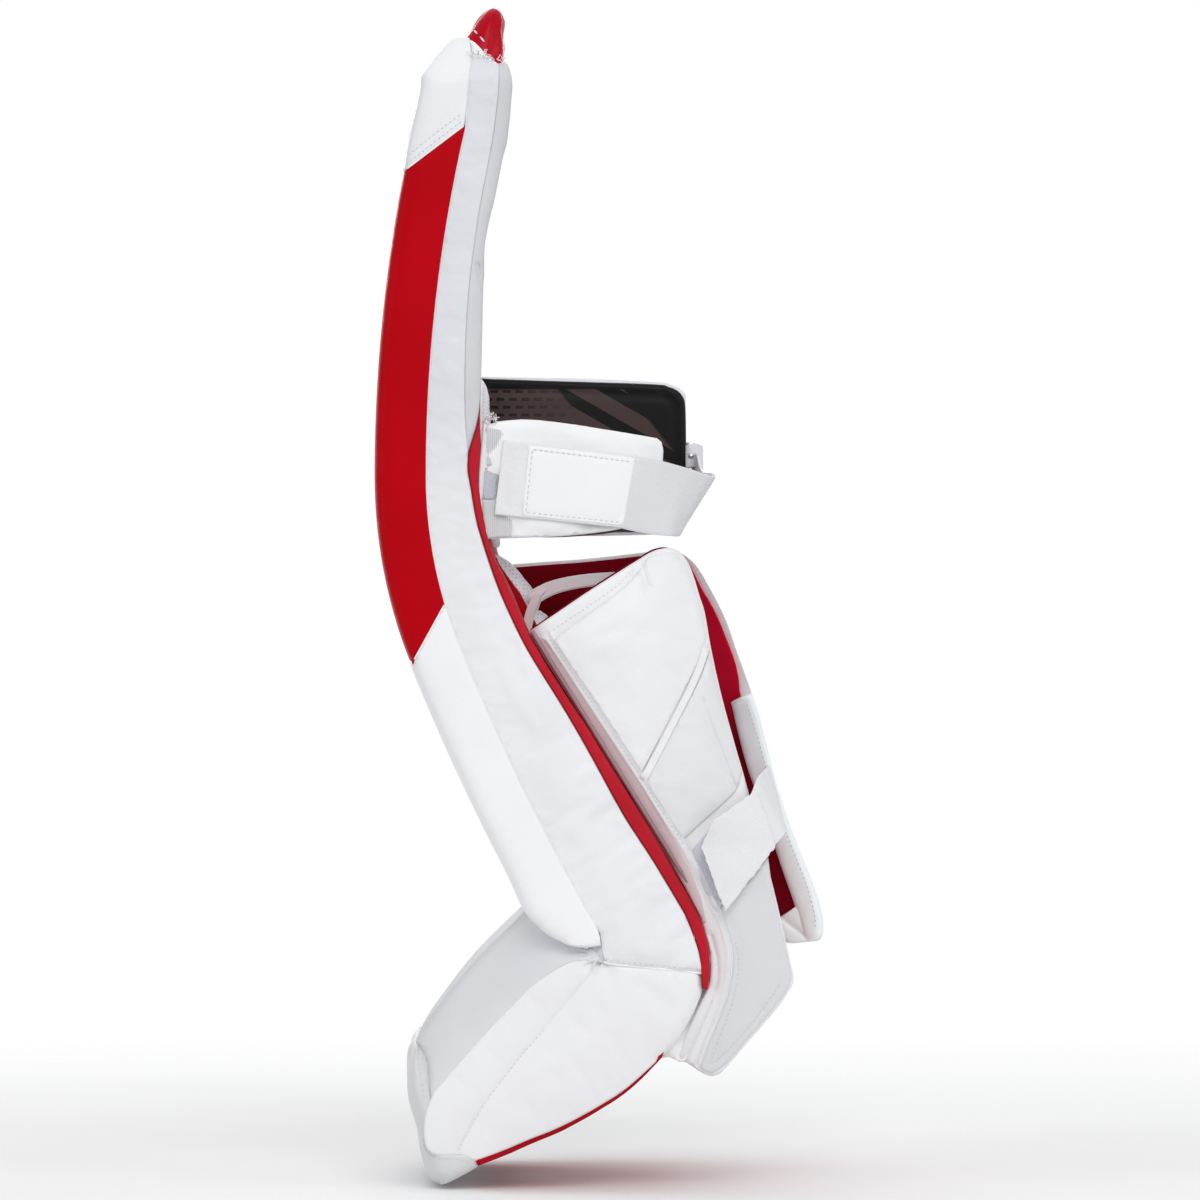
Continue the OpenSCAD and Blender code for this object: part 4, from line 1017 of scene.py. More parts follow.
thigh_core = slab("thigh_core_foam", thigh_core_run, -THIGH_CORE_HALF, THIGH_CORE_HALF, foam, **CORE)
fit(narrow_top(thigh_core), "thigh", "thigh_core", "thigh_board", fill=1.0)

# red back of the shin, a padded panel whose edge shows as a band that widens downwards
BAND_REAR = px([
    (480, 398), (480, 455), (478.5, 470), (478.5, 485), (483, 515), (489.5, 545), (494.5, 560),
    (509, 590), (529, 635), (538, 650), (546.5, 665), (575.5, 710), (586, 725), (604, 755),
    (650.5, 830), (676, 875), (693.5, 905), (706, 935), (710, 965), (708, 990),
])
BAND_FRONT = np.vstack([KNEE_REAR[1:], SHIN_REAR[1:-1], px([(700, 966), (701.5, 978), (702.5, 990)])])
BAND_LEAD, BACK_HALF = np.array([0.5, 0.2]), 137.2
CHANNEL_Y = (92.0, 128.0)  # the sewn channels down the back


def back_waves(poly, ids, t, y):
    """Sewn channels down the back, and slack between them."""
    out = np.abs(y)
    channel = -1.2 * bell(out - CHANNEL_Y[0], 3.0) - 0.9 * bell(out - CHANNEL_Y[1], 2.2)
    slack = 0.5 * np.sin(poly[:, 1] / 13 + y / 19) * bell(out - sum(CHANNEL_Y) / 2, 14)
    return np.where(ids == 2, channel + slack + 1.0 * (1 - (2 * t - 1) ** 8), 0.0)


back_panel = slab(
    "back_panel_pad", between(BAND_FRONT + BAND_LEAD, BAND_REAR), -BACK_HALF, BACK_HALF, red_nylon,
    near={0: 0.5, 1: 1.5, 2: 2.6, 3: 1.5}, bulge=(0.4, 0.4), rows=64, crown=back_waves,
)
# behind the knee the panel is drawn in, all but its near edge
v = points_of(back_panel)
v[:, 0] -= 4.5 * rise(v[:, 2] - 105, 25) * rise(v[:, 1] + 137, 90)
fit(set_points(back_panel, v), "shin", "back_panel", fill=0.7)

BACK_IN, BACK_OUT = np.array([-10.0, 0.0]), np.array([-0.6, 0.0])
THIGH_BACK = np.vstack([FAR_THIGH_REAR[1:], FAR_KNEE_REAR[:3]])
BACK_SEAMS, BACK_SEAM_Y, THIGH_BACK_HALF = (195.0, 262.0, 330.0), 60.0, 128.5


def thigh_back_waves(poly, ids, t, y):
    quilt = -1.6 * bell(np.abs(y) - BACK_SEAM_Y, 6.0)
    for z in BACK_SEAMS:
        quilt = quilt - 1.6 * bell(poly[:, 1] - z, 5.0)
    return np.where(ids == 2, quilt - 0.3, 0.0)


# the back panel's grey cloth is painted shade
thigh_back = slab(
    "thigh_back_panel_pad", between(THIGH_BACK + BACK_IN, THIGH_BACK + BACK_OUT),
    -THIGH_BACK_HALF, THIGH_BACK_HALF, shaded_rear_nylon,
    near={0: 0.5, 1: 2, 2: 5, 3: 3}, step=6, rows=48, crown=thigh_back_waves,
)
fit(narrow_top(thigh_back), None, "thigh_back_panel", fill=0.7)
bend_at_break(thigh_back)

# red cap on the inner half of the crown: a folded, rounded cone
CAP_Y = (44.0, 118.0)
cap_run = closed(
    lambda points: px(points, y=60.0),
    [(473.5, 28.5), (478, 21.5), (483, 15), (488.5, 9)],
    [(493, 7.3), (498, 9), (501, 12.5), (502.5, 20)],
    [(501.5, 33), (503.5, 45), (503.3, 57)],
    [(501, 73), (490, 79), (476, 73), (465, 61), (468, 36)],
)


def cap_folds(poly, ids, t, y):
    fold = np.sin((poly[:, 1] - 380) / 5.5 + 3.2 * t) * 0.9 + 1.1 * np.sin(9.0 * t + poly[:, 0] / 9)
    return np.where(ids < 3, fold, 0.0)


def cap_creases(v, d):
    slant = v[:, 0] * 0.95 - v[:, 1] * 0.25
    return 3.0 * np.sin(slant / 2.9) * np.clip((v[:, 0] + 92) / 12, 0.1, 1) * rise(d, 4)


top_cap = slab(
    "thigh_top_cap_fold", cap_run, *CAP_Y, cap_leather,
    near={0: 10, 1: 13, 2: 8, 3: 1}, far={0: 12, 1: 14, 2: 9, 3: 1},
    bulge=(2.0, 2.0), step=3, rows=20, crown=cap_folds, relief=cap_creases,
)
v = points_of(top_cap)
middle = sum(CAP_Y) / 2
v[:, 1] = middle + (v[:, 1] - middle) * (1 - 0.3 * rise(v[:, 2] - 412, 50) ** 1.5)
fit(set_points(top_cap, v), "thigh", "thigh_top_cap", fill=0.6)


# The boot

PIVOT, BOOT_UP = np.array([1.717, -269.762]), np.array([0.5948, 0.8039])
BOOT_HALF, TOE_HALF, TOE_Z = 135.0, 126.0, -162.0


def boot_half(p):
    """Half of the boot's width, which narrows towards the toe."""
    up = (np.asarray(p) - PIVOT) @ BOOT_UP
    return BOOT_HALF + (TOE_HALF - BOOT_HALF) * rise(up, TOE_Z)


def narrow_toe(o):
    v = points_of(o)
    v[:, 1] *= boot_half(v[:, [0, 2]]) / BOOT_HALF
    return set_points(o, v)


def bend_at_ankle(o):
    """Bakes the piece's place into its points."""
    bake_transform(o)


FACE_EDGE = px([
    (598, 961), (585, 960), (569, 962.5), (550, 973), (530, 987.5),
    (513, 1005), (495, 1023), (477, 1043), (455, 1068), (433, 1094),
])
CROWN = px([
    (523, 906), (503, 925), (482, 946), (465, 965.5), (450, 985), (438, 1001), (428, 1016), (416, 1037),
], y=60)
BOOT_FOOT = px([
    (660, 1059), (641, 1077), (622, 1093), (600, 1107), (579, 1119), (555, 1131), (530, 1141), (502, 1153), (475, 1163),
])
HEEL = px([(703, 974), (702.5, 991), (698, 1004), (690, 1021), (676, 1044), (660, 1059)])
TOE_SEAM = px([
    (475, 1163), (462, 1158.5), (450, 1157.5), (437, 1157), (427, 1151), (423.5, 1137), (425, 1115), (433, 1094),
])
SIDE_SEAM = px([
    (600, 964), (581, 986), (563, 1008), (543, 1031), (521, 1056), (502, 1080), (485, 1103), (470, 1128), (456, 1154),
])
GUSSET_TOP = px([(604, 962), (612, 964), (640, 966.8), (675, 970.3), (703, 974)])
gusset_run = outline(
    GUSSET_TOP, HEEL, BOOT_FOOT, TOE_SEAM, FACE_EDGE[::-1], np.vstack([FACE_EDGE[:1], GUSSET_TOP[:1]])
)
GUSSET_RADII, GUSSET_T = {0: 0.5, 1: 7.0, 2: 2.4, 3: 2.2, 4: 2.4, 5: 2.0}, 13.0
ANKLE_KNOT = px([(601, 963)])[0]


def boot_quilt(v, d):
    """The side's two panels swell a little each side of their seam, and the leather pulls at the ankle's knot."""
    s = line_dist(v, spline(SIDE_SEAM, 3))
    from_knot = v - ANKLE_KNOT
    knot, angle = np.linalg.norm(from_knot, axis=1), np.arctan2(from_knot[:, 1], from_knot[:, 0])
    pull = 1.4 * np.sin(angle * 15) * np.exp(-knot / 15) * rise(knot, 6)
    return 3.4 * rise(d, 45) ** 0.6 - 2.6 * np.exp(-s / 13) - 0.9 * bell(s, 1.3) + pull - 2.0 * bell(knot, 9)


def gusset(which, sign):
    o = slab(
        f"boot_{which}_gusset_pad", gusset_run, -BOOT_HALF, -BOOT_HALF + GUSSET_T, white_leather,
        near=GUSSET_RADII, far=0.4, rows=3, relief=boot_quilt,
        lines=[(spline(SIDE_SEAM, 3.5), (-2.6, -1.0, 0.0, 1.0, 2.6))],
    )
    if sign > 0:
        mirrored(o)
    v = points_of(o)
    side = v[:, [0, 2]]
    rim, seam = rim_dist(side, gusset_run[0]), line_dist(side, spline(SIDE_SEAM, 3))
    held = np.maximum(np.exp(-rim / 5), np.exp(-seam / 4))
    puff(o, np.where(np.abs(v[:, 1]) > BOOT_HALF - 11, held, 1.0), pressure=3.0, cap=2.5, grow=0.006)
    return fit(narrow_toe(o), None, f"boot_{which}_gusset", fill=0.8)


outer_gusset, inner_gusset = gusset("outer", -1), gusset("inner", 1)


def make_boot_face():
    """Crowned front of the boot: a broad middle and two slopes down to the side panels."""
    stations, slope, middle = 46, 9, 22
    edge = np.vstack([px([(606, 948)]), even(FACE_EDGE, stations, 2.0), px([(431, 1112)])])
    crown = np.vstack([px([(536, 890)], y=60), even(CROWN, stations, 2.0), px([(420, 1054)], y=60)])
    rings = []
    for k, (e, c) in enumerate(zip(edge, crown)):
        h = float(boot_half(e)) - 0.6
        bevel = 46.0 - 4.0 * k / stations
        flat = h - bevel
        way = (c - e) / max(np.linalg.norm(c - e), 1e-6)
        tuck = 3.0 * min(1.0, max(0.0, (k - stations + 3) / 2))
        half, top = [], []
        for q in np.arange(slope + 1) / slope:
            bow = math.sin(math.pi * q)
            swell = 2.6 * bow**0.8 + 0.5 * math.sin(k * 0.33 + q * 5) * bow
            p = e + (c - e) * q + way * (swell * 0.6 - tuck * q)
            half.append((p[0], h - bevel * q + swell * 0.5, p[1]))
        for q in -1 + 2 * np.arange(1, middle) / middle:
            lift = -0.4 * (1 - abs(q) ** 3) - 0.8 * math.exp(-(((abs(q) * flat - 46) / 2.2) ** 2))
            p = c + way * (lift - tuck)
            top.append((p[0], flat * q, p[1]))
        inner = e - way * 5.0
        under = [(inner[0], h * q, inner[1]) for q in (0.98, 0.5, 0.0, -0.5, -0.98)]
        rings.append([(x, -y, z) for x, y, z in half] + top + half[::-1] + under)
    return loft("boot_face_pad", np.array(rings), shaded_boot_leather, sharp=50)


# the boot's face carries painted shade in its leather
boot_face = fit(make_boot_face(), None, "boot_face", fill=0.85)

# sole: a red sheet under the foot; its edge shows as a thin line below the side panel
DOWN = np.array([0.49, -0.87])
SOLE_BACK = px([(690, 984), (683, 1008), (669, 1042), (661.5, 1059)])
SOLE_IN = px([(660, 1034), (676, 1006), (686, 982)])
SOLE_EDGE = BOOT_FOOT[1:] + DOWN * np.linspace(2.0, 4.2, len(BOOT_FOOT) - 1)[:, None]
sole_run = outline(
    SOLE_BACK,
    np.vstack([SOLE_BACK[-1:], SOLE_EDGE]),
    np.vstack([BOOT_FOOT[-1:] + DOWN * 4.2, BOOT_FOOT[-1:] - DOWN * 2.5]),
    np.vstack([BOOT_FOOT[::-1] - DOWN * 3.0, SOLE_IN]),
    np.vstack([SOLE_IN[-1:], SOLE_BACK[:1]]),
)


def sole_waves(poly, ids, t, y):
    return np.where(ids == 1, 0.8 * np.sin(poly[:, 0] / 6.0) * bell(np.abs(y) - 130, 8), 0.0)


sole = slab(
    "boot_sole_sheet", sole_run, -BOOT_HALF + 2.0, BOOT_HALF - 2.0, red_deep,
    near=0.8, rows=40, step=4, crown=sole_waves,
)
fit(narrow_toe(sole), "boot", "boot_sole_panel", fill=0.9)

# the toe cap, its leather darkened as painted shade; its upper edge falls away at its two corners
TOE_Y, TOE_FLAT, TOE_FALL, TOE_REACH = 124.5, 96.0, 15.0, 50.0
TOE_RADII = {0: (15, 44), 1: 9.0, 2: 3.0, 3: 0.5}
TOE_TOP = px([(421, 1028), (416, 1037)], y=60) + np.array([-0.5, 0.4])
TOE_FRONT = px([
    (405.5, 1074), (405, 1090), (409, 1113), (415, 1136), (419, 1156), (423.5, 1175), (429, 1186), (436, 1190),
])
TOE_REAR = px([(474, 1160), (455, 1156), (438, 1154), (430, 1145), (430.5, 1119), (435, 1094), (428, 1065)])
toe_run = outline(
    np.vstack([TOE_TOP, TOE_FRONT]),
    px([(436, 1190), (446, 1186.5), (462, 1178.5), (477, 1170)]),
    px([(477, 1170), (478.5, 1166), (474, 1160)]),
    np.vstack([TOE_REAR, TOE_TOP[:1]]),
)


def toe_dents(v, d):
    return 0.5 * np.sin(v[:, 0] / 4.1 + v[:, 1] / 9) * rise(d, 6) + 0.4 * np.sin(v[:, 1] / 5.3)


def toe_crown(poly, ids, t, y):
    return np.where(ids == 0, 1.5 * (1 - (2 * t - 1) ** 6) + 0.5 * np.sin(poly[:, 1] / 6 + y / 17), 0.0)


toe_cap = slab(
    "toe_cap_cover", toe_run, -TOE_Y, TOE_Y, shaded_toe_leather,
    near=TOE_RADII, step=3.5, rows=60, relief=toe_dents, crown=toe_crown,
)
toe_down = TOE_TOP[1] - TOE_TOP[0]
toe_down /= np.linalg.norm(toe_down)
v = points_of(toe_cap)
fall = TOE_FALL * rise(np.abs(v[:, 1]) - TOE_FLAT, TOE_Y - TOE_FLAT) ** 2
fall *= np.clip(1 - ((v[:, [0, 2]] - TOE_TOP[0]) @ toe_down) / TOE_REACH, 0, 1)
v[:, [0, 2]] += fall[:, None] * toe_down
fit(set_points(toe_cap, v), "boot", "toe_cap", fill=0.85)

BOOT_CORE_HALF = 116.0
boot_core_run = closed(
    px,
    [(668, 990), (662, 1015), (642, 1046), (618, 1088), (575, 1112), (526, 1134), (480, 1150),
     (445, 1130), (447, 1085), (490, 1040), (540, 990), (580, 968), (606, 978)],
    step=8,
)
boot_core = slab("boot_core_foam", boot_core_run, -BOOT_CORE_HALF, BOOT_CORE_HALF, foam, near=3, step=16, rows=4)
fit(boot_core, "boot", "boot_core", fill=1.0)


# soft plies at each side of the heel, from the shin's back down to the boot; their leather is lightened as painted
# light
HEEL_Y = (-120.5, -106.0)
heel_px = partial(px, y=-116.0)


def heel_plies(v, d):
    across = line_dist(v, spline(heel_px([(704, 985), (694, 1020), (670, 1056)]), 3))
    return 1.6 * np.sin(across / 1.5) * rise(d, 3)


heel_run = closed(
    heel_px,
    [(717, 980), (715, 1004), (705, 1028), (692, 1052), (683, 1062), (670, 1057),
     (660, 1056), (676, 1034), (688, 1008), (696, 988), (698, 972)],
    step=3,
)
heel_top, heel_foot = heel_px([(708, 986), (676, 1046)])
for side, which in SIDES:
    o = slab(f"heel_fold_{which}", heel_run, *HEEL_Y, painted_light_leather, step=2.2, rows=6, relief=heel_plies)
    if side > 0:
        mirrored(o)
    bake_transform(o)

# the toe lace's webbing lies against the sole, with a steel eyelet near each end
LACE_MID, LACE_WAY = np.array([-53.6, -408.8]), np.array([0.919, 0.394])
LACE_OUT = np.array([LACE_WAY[1], -LACE_WAY[0]])
LACE_HALF, LACE_LONG, LACE_UP, LACE_T = 48.0, 15.0, 2.0, 2.4
EYELET_Y, EYELET_R, EYELET_UP, EYELET_WIRE = 30.0, 6.6, 3.4, 2.0


def lace_point(along_it, y, out):
    p = LACE_MID + LACE_WAY * along_it + LACE_OUT * out
    return (p[0], y, p[1])


lace_y = np.linspace(-LACE_HALF, LACE_HALF, 40)
lace_edges = [[lace_point(end, y, LACE_UP) for y in lace_y] for end in (-LACE_LONG, LACE_LONG)]
lace = fit(ribbon("toe_lace_webbing", *lace_edges, LACE_T, webbing), "boot", "toe_bridge")
for side, which in SIDES:
    turn = [(EYELET_R * math.cos(a), EYELET_R * math.sin(a)) for a in np.linspace(0, 2 * math.pi, 41)]
    path = [lace_point(x, side * EYELET_Y + y, EYELET_UP) for x, y in turn]
    eyelet = tube(f"toe_eyelet_{which}", path, EYELET_WIRE, steel, flat=0.6, cap=False)
    fit(eyelet, "boot", *(["toe_eyelets"] if side < 0 else []))


# The calf wings

WING_O = np.array([-52.198, -21.838])
WING_U, WING_V = np.array([0.8495, 0.5276]), np.array([-0.5276, 0.8495])
WING_R, WING_SHIFT = 260.0, 126.0


def wing(sign, base=0.0, way=1.0, origin=WING_O, ua=WING_U, va=WING_V):
    """Surface of a wing: across it u, along the hinge v, and a height h above its outer face."""

    def place(u, v, h):
        r = WING_R + base + way * np.asarray(h, float)
        y = sign * (np.sqrt(np.maximum(r * r - np.asarray(u) ** 2, 1.0)) - WING_SHIFT)
        x = origin[0] + u * ua[0] + v * va[0]
        z = origin[1] + u * ua[1] + v * va[1]
        return np.stack([x, np.broadcast_to(y, np.shape(x)), z], -1)

    return place


def wing_px(points, sign=-1, base=0.0, origin=WING_O, ua=WING_U, va=WING_V):
    """Pixels of the picture as u and v on a wing."""
    y = np.full(len(points), sign * 120.0)
    for _ in range(4):
        xz = px(points, y) - origin
        u, v = xz @ ua, xz @ va
        y = sign * (np.sqrt(np.maximum((WING_R + base) ** 2 - u * u, 1.0)) - WING_SHIFT)
    return np.stack([u, v], -1)


def wing_uv(p):
    """u and v of points in space."""
    flat = p[:, [0, 2]] - WING_O
    return np.stack([flat @ WING_U, flat @ WING_V], -1)


def frame_point(u, y, v):
    p = WING_O + u * WING_U + v * WING_V
    return np.array([p[0], y, p[1]])


near_wing, far_wing = wing(-1), wing(1)
SHELL_T = 12.0
TOP_EDGE = [
    (528, 632), (560, 610.5), (588, 591.5), (620, 571), (640, 558.5),
    (652, 551.5), (662, 548.5), (672, 548), (680, 551.5),
]
REAR_EDGE = [
    (680, 551.5), (688, 562), (694, 577), (700, 597), (705, 613), (711.5, 650),
    (722, 697), (736, 748), (748, 790), (774, 890), (794, 977),
]
FOOT_EDGE = [
    (794, 977), (793, 984), (788, 993), (776, 1010), (750, 1040), (725, 1069),
    (718, 1075), (710, 1076.5), (700, 1072), (690, 1065), (676, 1058),
]
HINGE_EDGE = [
    (676, 1058), (691, 1024), (707.5, 988), (710.3, 970), (709.2, 950), (701, 920),
    (686, 890), (652, 830), (596.5, 740), (557.5, 680), (528, 632),
]
wing_run = outline(*[wing_px(edge) for edge in (TOP_EDGE, REAR_EDGE, FOOT_EDGE, HINGE_EDGE)])
RIDGE_PX = [(549, 638), (572, 672), (604, 721), (641, 777), (662, 811), (684, 845), (703, 882), (717, 912)]
RIDGE = spline(wing_px(RIDGE_PX), 3)
SKIRT_A = spline(wing_px([(716, 908), (726, 936), (729, 960), (724, 995), (705, 1045), (697, 1066)]), 3)
SKIRT_B = spline(wing_px([(711, 935), (718, 967), (712, 1002), (692, 1047), (684, 1060)]), 3)
WING_LINES = [
    (RIDGE, (-5.0, -3.4, -2.2, -1.0, 0.0, 1.0, 2.2, 3.4, 5.0)),
    (SKIRT_A, (-4.0, -2.8, -1.8, -0.8, 0.8, 1.8, 2.8, 4.0)),
    (SKIRT_B, (-2.2, -1.1, 0.0, 1.1, 2.2)),
]


def wing_relief(v, d):
    """Double ridges along two seams, a groove beside the lower one, slack, and the edge turned in at the hinge."""
    front = line_dist(v, wing_px(HINGE_EDGE))
    turned = -8.0 * (1 - rise(front, 15.0)) * np.clip((v[:, 1] + 260) / 60, 0.35, 1)
    wave = 0.6 * np.sin(v[:, 1] / 17.0 + v[:, 0] / 31.0) * rise(d, 25)
    ridges = 2.6 * bell(line_dist(v, RIDGE) - 2.2, 1.0) + 2.5 * bell(line_dist(v, SKIRT_A) - 1.8, 0.9)
    return ridges - 2.2 * bell(line_dist(v, SKIRT_B), 1.3) + wave + turned


outer_wing = panel(
    "outer_wing_shell", wing_run, near_wing, 0.0, white_leather, bottom=-SHELL_T,
    radii={0: 2.4, 1: 5.0, 2: 3.5, 3: 1.2}, lines=WING_LINES, relief=wing_relief, rings=(0.4, 1.4, 3.2, 6.0),
)
fit(outer_wing, "outer_wing", "outer_wing_pad", "outer_wing_board", fill=0.8)

# the leather beside the hinge, painted a greyish pink as its shade and the red band's reflected light
HINGE_FRONT = [(531, 633.5), (559, 680.5), (598, 740.5), (635, 800.5), (670, 860), (687, 890), (704, 924)]
HINGE_BACK = [
    (706.5, 922), (698, 889), (680.5, 850), (658.5, 812.5), (637.5, 779), (600.5, 723), (568.5, 674), (546, 639.5),
]
hinge_run = closed(wing_px, HINGE_FRONT[1:], HINGE_BACK[:1], HINGE_BACK[1:], HINGE_FRONT[:1])
hinge_leather = panel(
    "outer_wing_hinge_leather", hinge_run, near_wing, 0.5, painted_shade_pink_leather, bottom=-10.0, radii=0.4, step=4,
    rings=(0.2, 0.6, 1.6, 3.2), relief=lambda v, d: wing_relief(v, rim_dist(v, wing_run[0])),
)
fit(hinge_leather, "outer_wing", fill=0.9)

lining_run = closed(
    partial(wing_px, base=-14),
    [(560, 608.5), (588, 589.5), (620, 569), (640, 556.5), (652, 549.5), (662, 547)],
    [(672, 549), (682, 560), (696, 597), (704, 630), (712, 672), (726, 725), (744, 790), (762, 860), (778, 930)],
    [(784, 970), (776, 1000), (745, 1034), (716, 1062), (700, 1052)],
    [(716, 1005), (720, 965), (708, 910), (672, 848), (592, 730), (556, 673), (530, 629.5)],
)
outer_lining = panel(
    "outer_wing_lining_cloth", lining_run, wing(-1, base=-15.1), 3.1, shaded_lining_cloth, radii=1.2, step=8
)
fit(outer_lining, "outer_wing", "outer_wing_lining", fill=0.9)


def wing_cushion(which, run, high, material, radii, dart, cap):
    """One of the outer wing's two cushions, with a dart sewn into it."""

    def quilt(v, d):
        k = line_dist(v, dart)
        return 2.6 * rise(d, 30) ** 0.7 - 1.8 * bell(k, 1.7) + 0.7 * bell(k - 3.4, 1.6)

    o = panel(
        f"outer_wing_{which}_cushion", run, near_wing, high, material, bottom=-2.0, radii=radii, relief=quilt,
        rings=(0.3, 0.9, 1.8, 3.2, 5.0), lines=[(dart, (-3.4, -1.2, 0, 1.2, 3.4))],
    )
    v = points_of(o)
    uv = wing_uv(v)
    under = v[:, 1] > near_wing(uv[:, 0], uv[:, 1], np.zeros(len(uv)))[:, 1] + 0.5
    edge = np.exp(-rim_dist(uv, run[0]) / 4.0)
    puff(o, np.where(under, 1.0, edge), pressure=4.0, cap=cap, grow=0.01)
    return fit(o, "outer_wing", f"outer_wing_{which}_panel", fill=0.8)


upper_run = closed(
    wing_px,
    [(570, 626.5), (600, 605), (625, 585.5), (641, 568)],
    [(646, 559.5), (655, 554), (666, 551.5), (676, 553.5)],
    [(685, 564), (692, 580), (698, 599), (703, 616), (706, 636)],
    [(699, 658), (688, 682), (672, 713), (655, 746), (641, 773)],
    [(606, 719), (575, 673), (553, 640)],
)
WING_DART = spline(wing_px([(640, 558), (644, 570), (647, 585)]), 2)
UPPER_RADII = {0: (2.4, 3.0), 1: (3.0, 3.4), 2: (5.0, 4.0), 3: (4.0, 1.1), 4: (2.4, 3.0)}
upper_panel = wing_cushion("upper", upper_run, 3.6, white_leather, UPPER_RADII, WING_DART, cap=3.0)
lower_run = closed(
    wing_px,
    [(661, 755), (678, 722), (694, 691), (704, 668), (710, 650)],
    [(715, 675), (721, 700), (728, 724), (735, 750), (742, 772)],
    [(737, 789), (722, 805), (702, 823), (683, 841)],
    [(664, 811), (646, 783)],
)
LOWER_CREASE = spline(wing_px([(703, 700), (712, 730), (724, 760), (735, 788)]), 3)
LOWER_RADII = {0: (4.0, 1.0), 1: (5.0, 3.0), 2: (2.0, 2.4), 3: (2.0, 2.4)}
lower_panel = wing_cushion("lower", lower_run, 2.6, grey_leather, LOWER_RADII, LOWER_CREASE, cap=2.0)

# a sewn tape with a groove down its middle, between the two cushions
V_SEAM = spline(wing_px([(705, 646), (702.5, 659), (691, 687), (675, 719), (658, 752), (643.5, 779)]), 3)
TAPE_HALF, TAPE_HIGH = 3.0, 2.6
TAPE_GROOVE = TAPE_HALF * 0.25
tape_side = left_of(np.gradient(V_SEAM, axis=0)) * TAPE_HALF
tape_poly = np.vstack([V_SEAM + tape_side, (V_SEAM - tape_side)[::-1]])
if turns_right(tape_poly):
    tape_poly = tape_poly[::-1]
seam_tape = panel(
    "outer_wing_seam_tape", (tape_poly, np.zeros(len(tape_poly), int)), near_wing, TAPE_HIGH, white_leather,
    bottom=-1.0, radii=(TAPE_HALF * 0.95, TAPE_HIGH * 0.45), step=2.0,
    rings=tuple(TAPE_HALF * k for k in (0.12, 0.3, 0.55)),
    relief=lambda v, d: -0.15 * TAPE_HIGH * bell(line_dist(v, V_SEAM), TAPE_GROOVE),
    lines=[(V_SEAM, (-TAPE_GROOVE, 0, TAPE_GROOVE))],
)
fit(seam_tape, "outer_wing", fill=0.9)

skirt_run = closed(
    wing_px,
    [(745, 884), (768, 857)],
    [(772.5, 888), (779.5, 920), (786.5, 950), (791.5, 973)],
    [(789.5, 986), (775, 1007), (749.5, 1037), (724, 1066), (712, 1073.5)],
    [(700, 1067), (708, 1046), (727, 997), (732, 962), (728, 936), (718, 910)],
)
skirt = panel(
    "outer_wing_skirt_panel", skirt_run, near_wing, 1.5, skirt_leather, bottom=-2.0,
    radii={0: 0.8, 1: (6.0, 3.0), 2: (3.0, 2.0), 3: (1.2, 1.4)}, rings=(0.3, 0.9, 2.0, 4.0, 6.0, 8.0),
    relief=lambda v, d: 0.5 * rise(d, 15) - 0.5 * bell(d - 6.0, 0.9),
)
fit(skirt, "outer_wing", fill=0.8)

# the patch's lavender grey is the tab's painted shadow
patch_run = closed(wing_px, [(712, 826)], [(750, 800)], [(763, 848)], [(722, 902)], [(706, 893)], [(692, 850)])
patch = panel("outer_wing_loop_patch_pile", patch_run, near_wing, 1.7, shaded_patch_pile, bottom=-1.0, radii=0.8, step=4)
fit(patch, "outer_wing", "outer_wing_loop_patch", fill=0.9)

# the far wing: padded shell, red lining, and a white rolled binding down its free edge
FAR_TOP = [(513, 564.5), (545, 562), (580, 559.5), (610, 556.5), (640, 553), (664, 550.5), (679, 551.5)]
FAR_REAR = [
    (679, 551.5), (695, 564.5), (710.5, 590), (725.5, 620), (736, 650), (757, 710),
    (772.5, 770), (789, 823), (815, 889), (822, 915), (823, 931),
]
FAR_FOOT = [(823, 931), (819, 939), (806, 941), (790, 942.5), (783, 941)]
FAR_CORNER, FAR_HINGE = (28.0, -296.0), (3.0, -268.0)
far_foot = np.vstack([wing_px(FAR_FOOT, 1), [FAR_CORNER, FAR_HINGE]])
far_run = outline(
    wing_px(FAR_TOP, 1),
    wing_px(FAR_REAR, 1),
    far_foot[:5],
    far_foot[4:],
    np.vstack([[FAR_HINGE, (3.0, 0.0)], wing_px(FAR_TOP[:1], 1)]),
)


def far_relief(v, d):
    return 0.5 * np.sin(v[:, 1] / 19.0 + v[:, 0] / 27.0) * rise(d, 25) - 1.4 * bell(d - 16.0, 1.6)


# the shell's leather is lightened as painted light against the shade it sits in
inner_wing = panel(
    "inner_wing_shell", far_run, far_wing, 0.0, painted_light_leather, bottom=-SHELL_T,
    radii={0: 3.0, 1: 7.0, 2: 4.0, 3: 3.0, 4: 3.0}, relief=far_relief, rings=(0.4, 1.4, 3.2, 6.0, 14.0, 16.0, 18.0),
)
fit(inner_wing, "inner_wing", "inner_wing_pad", "inner_wing_board", fill=0.8)

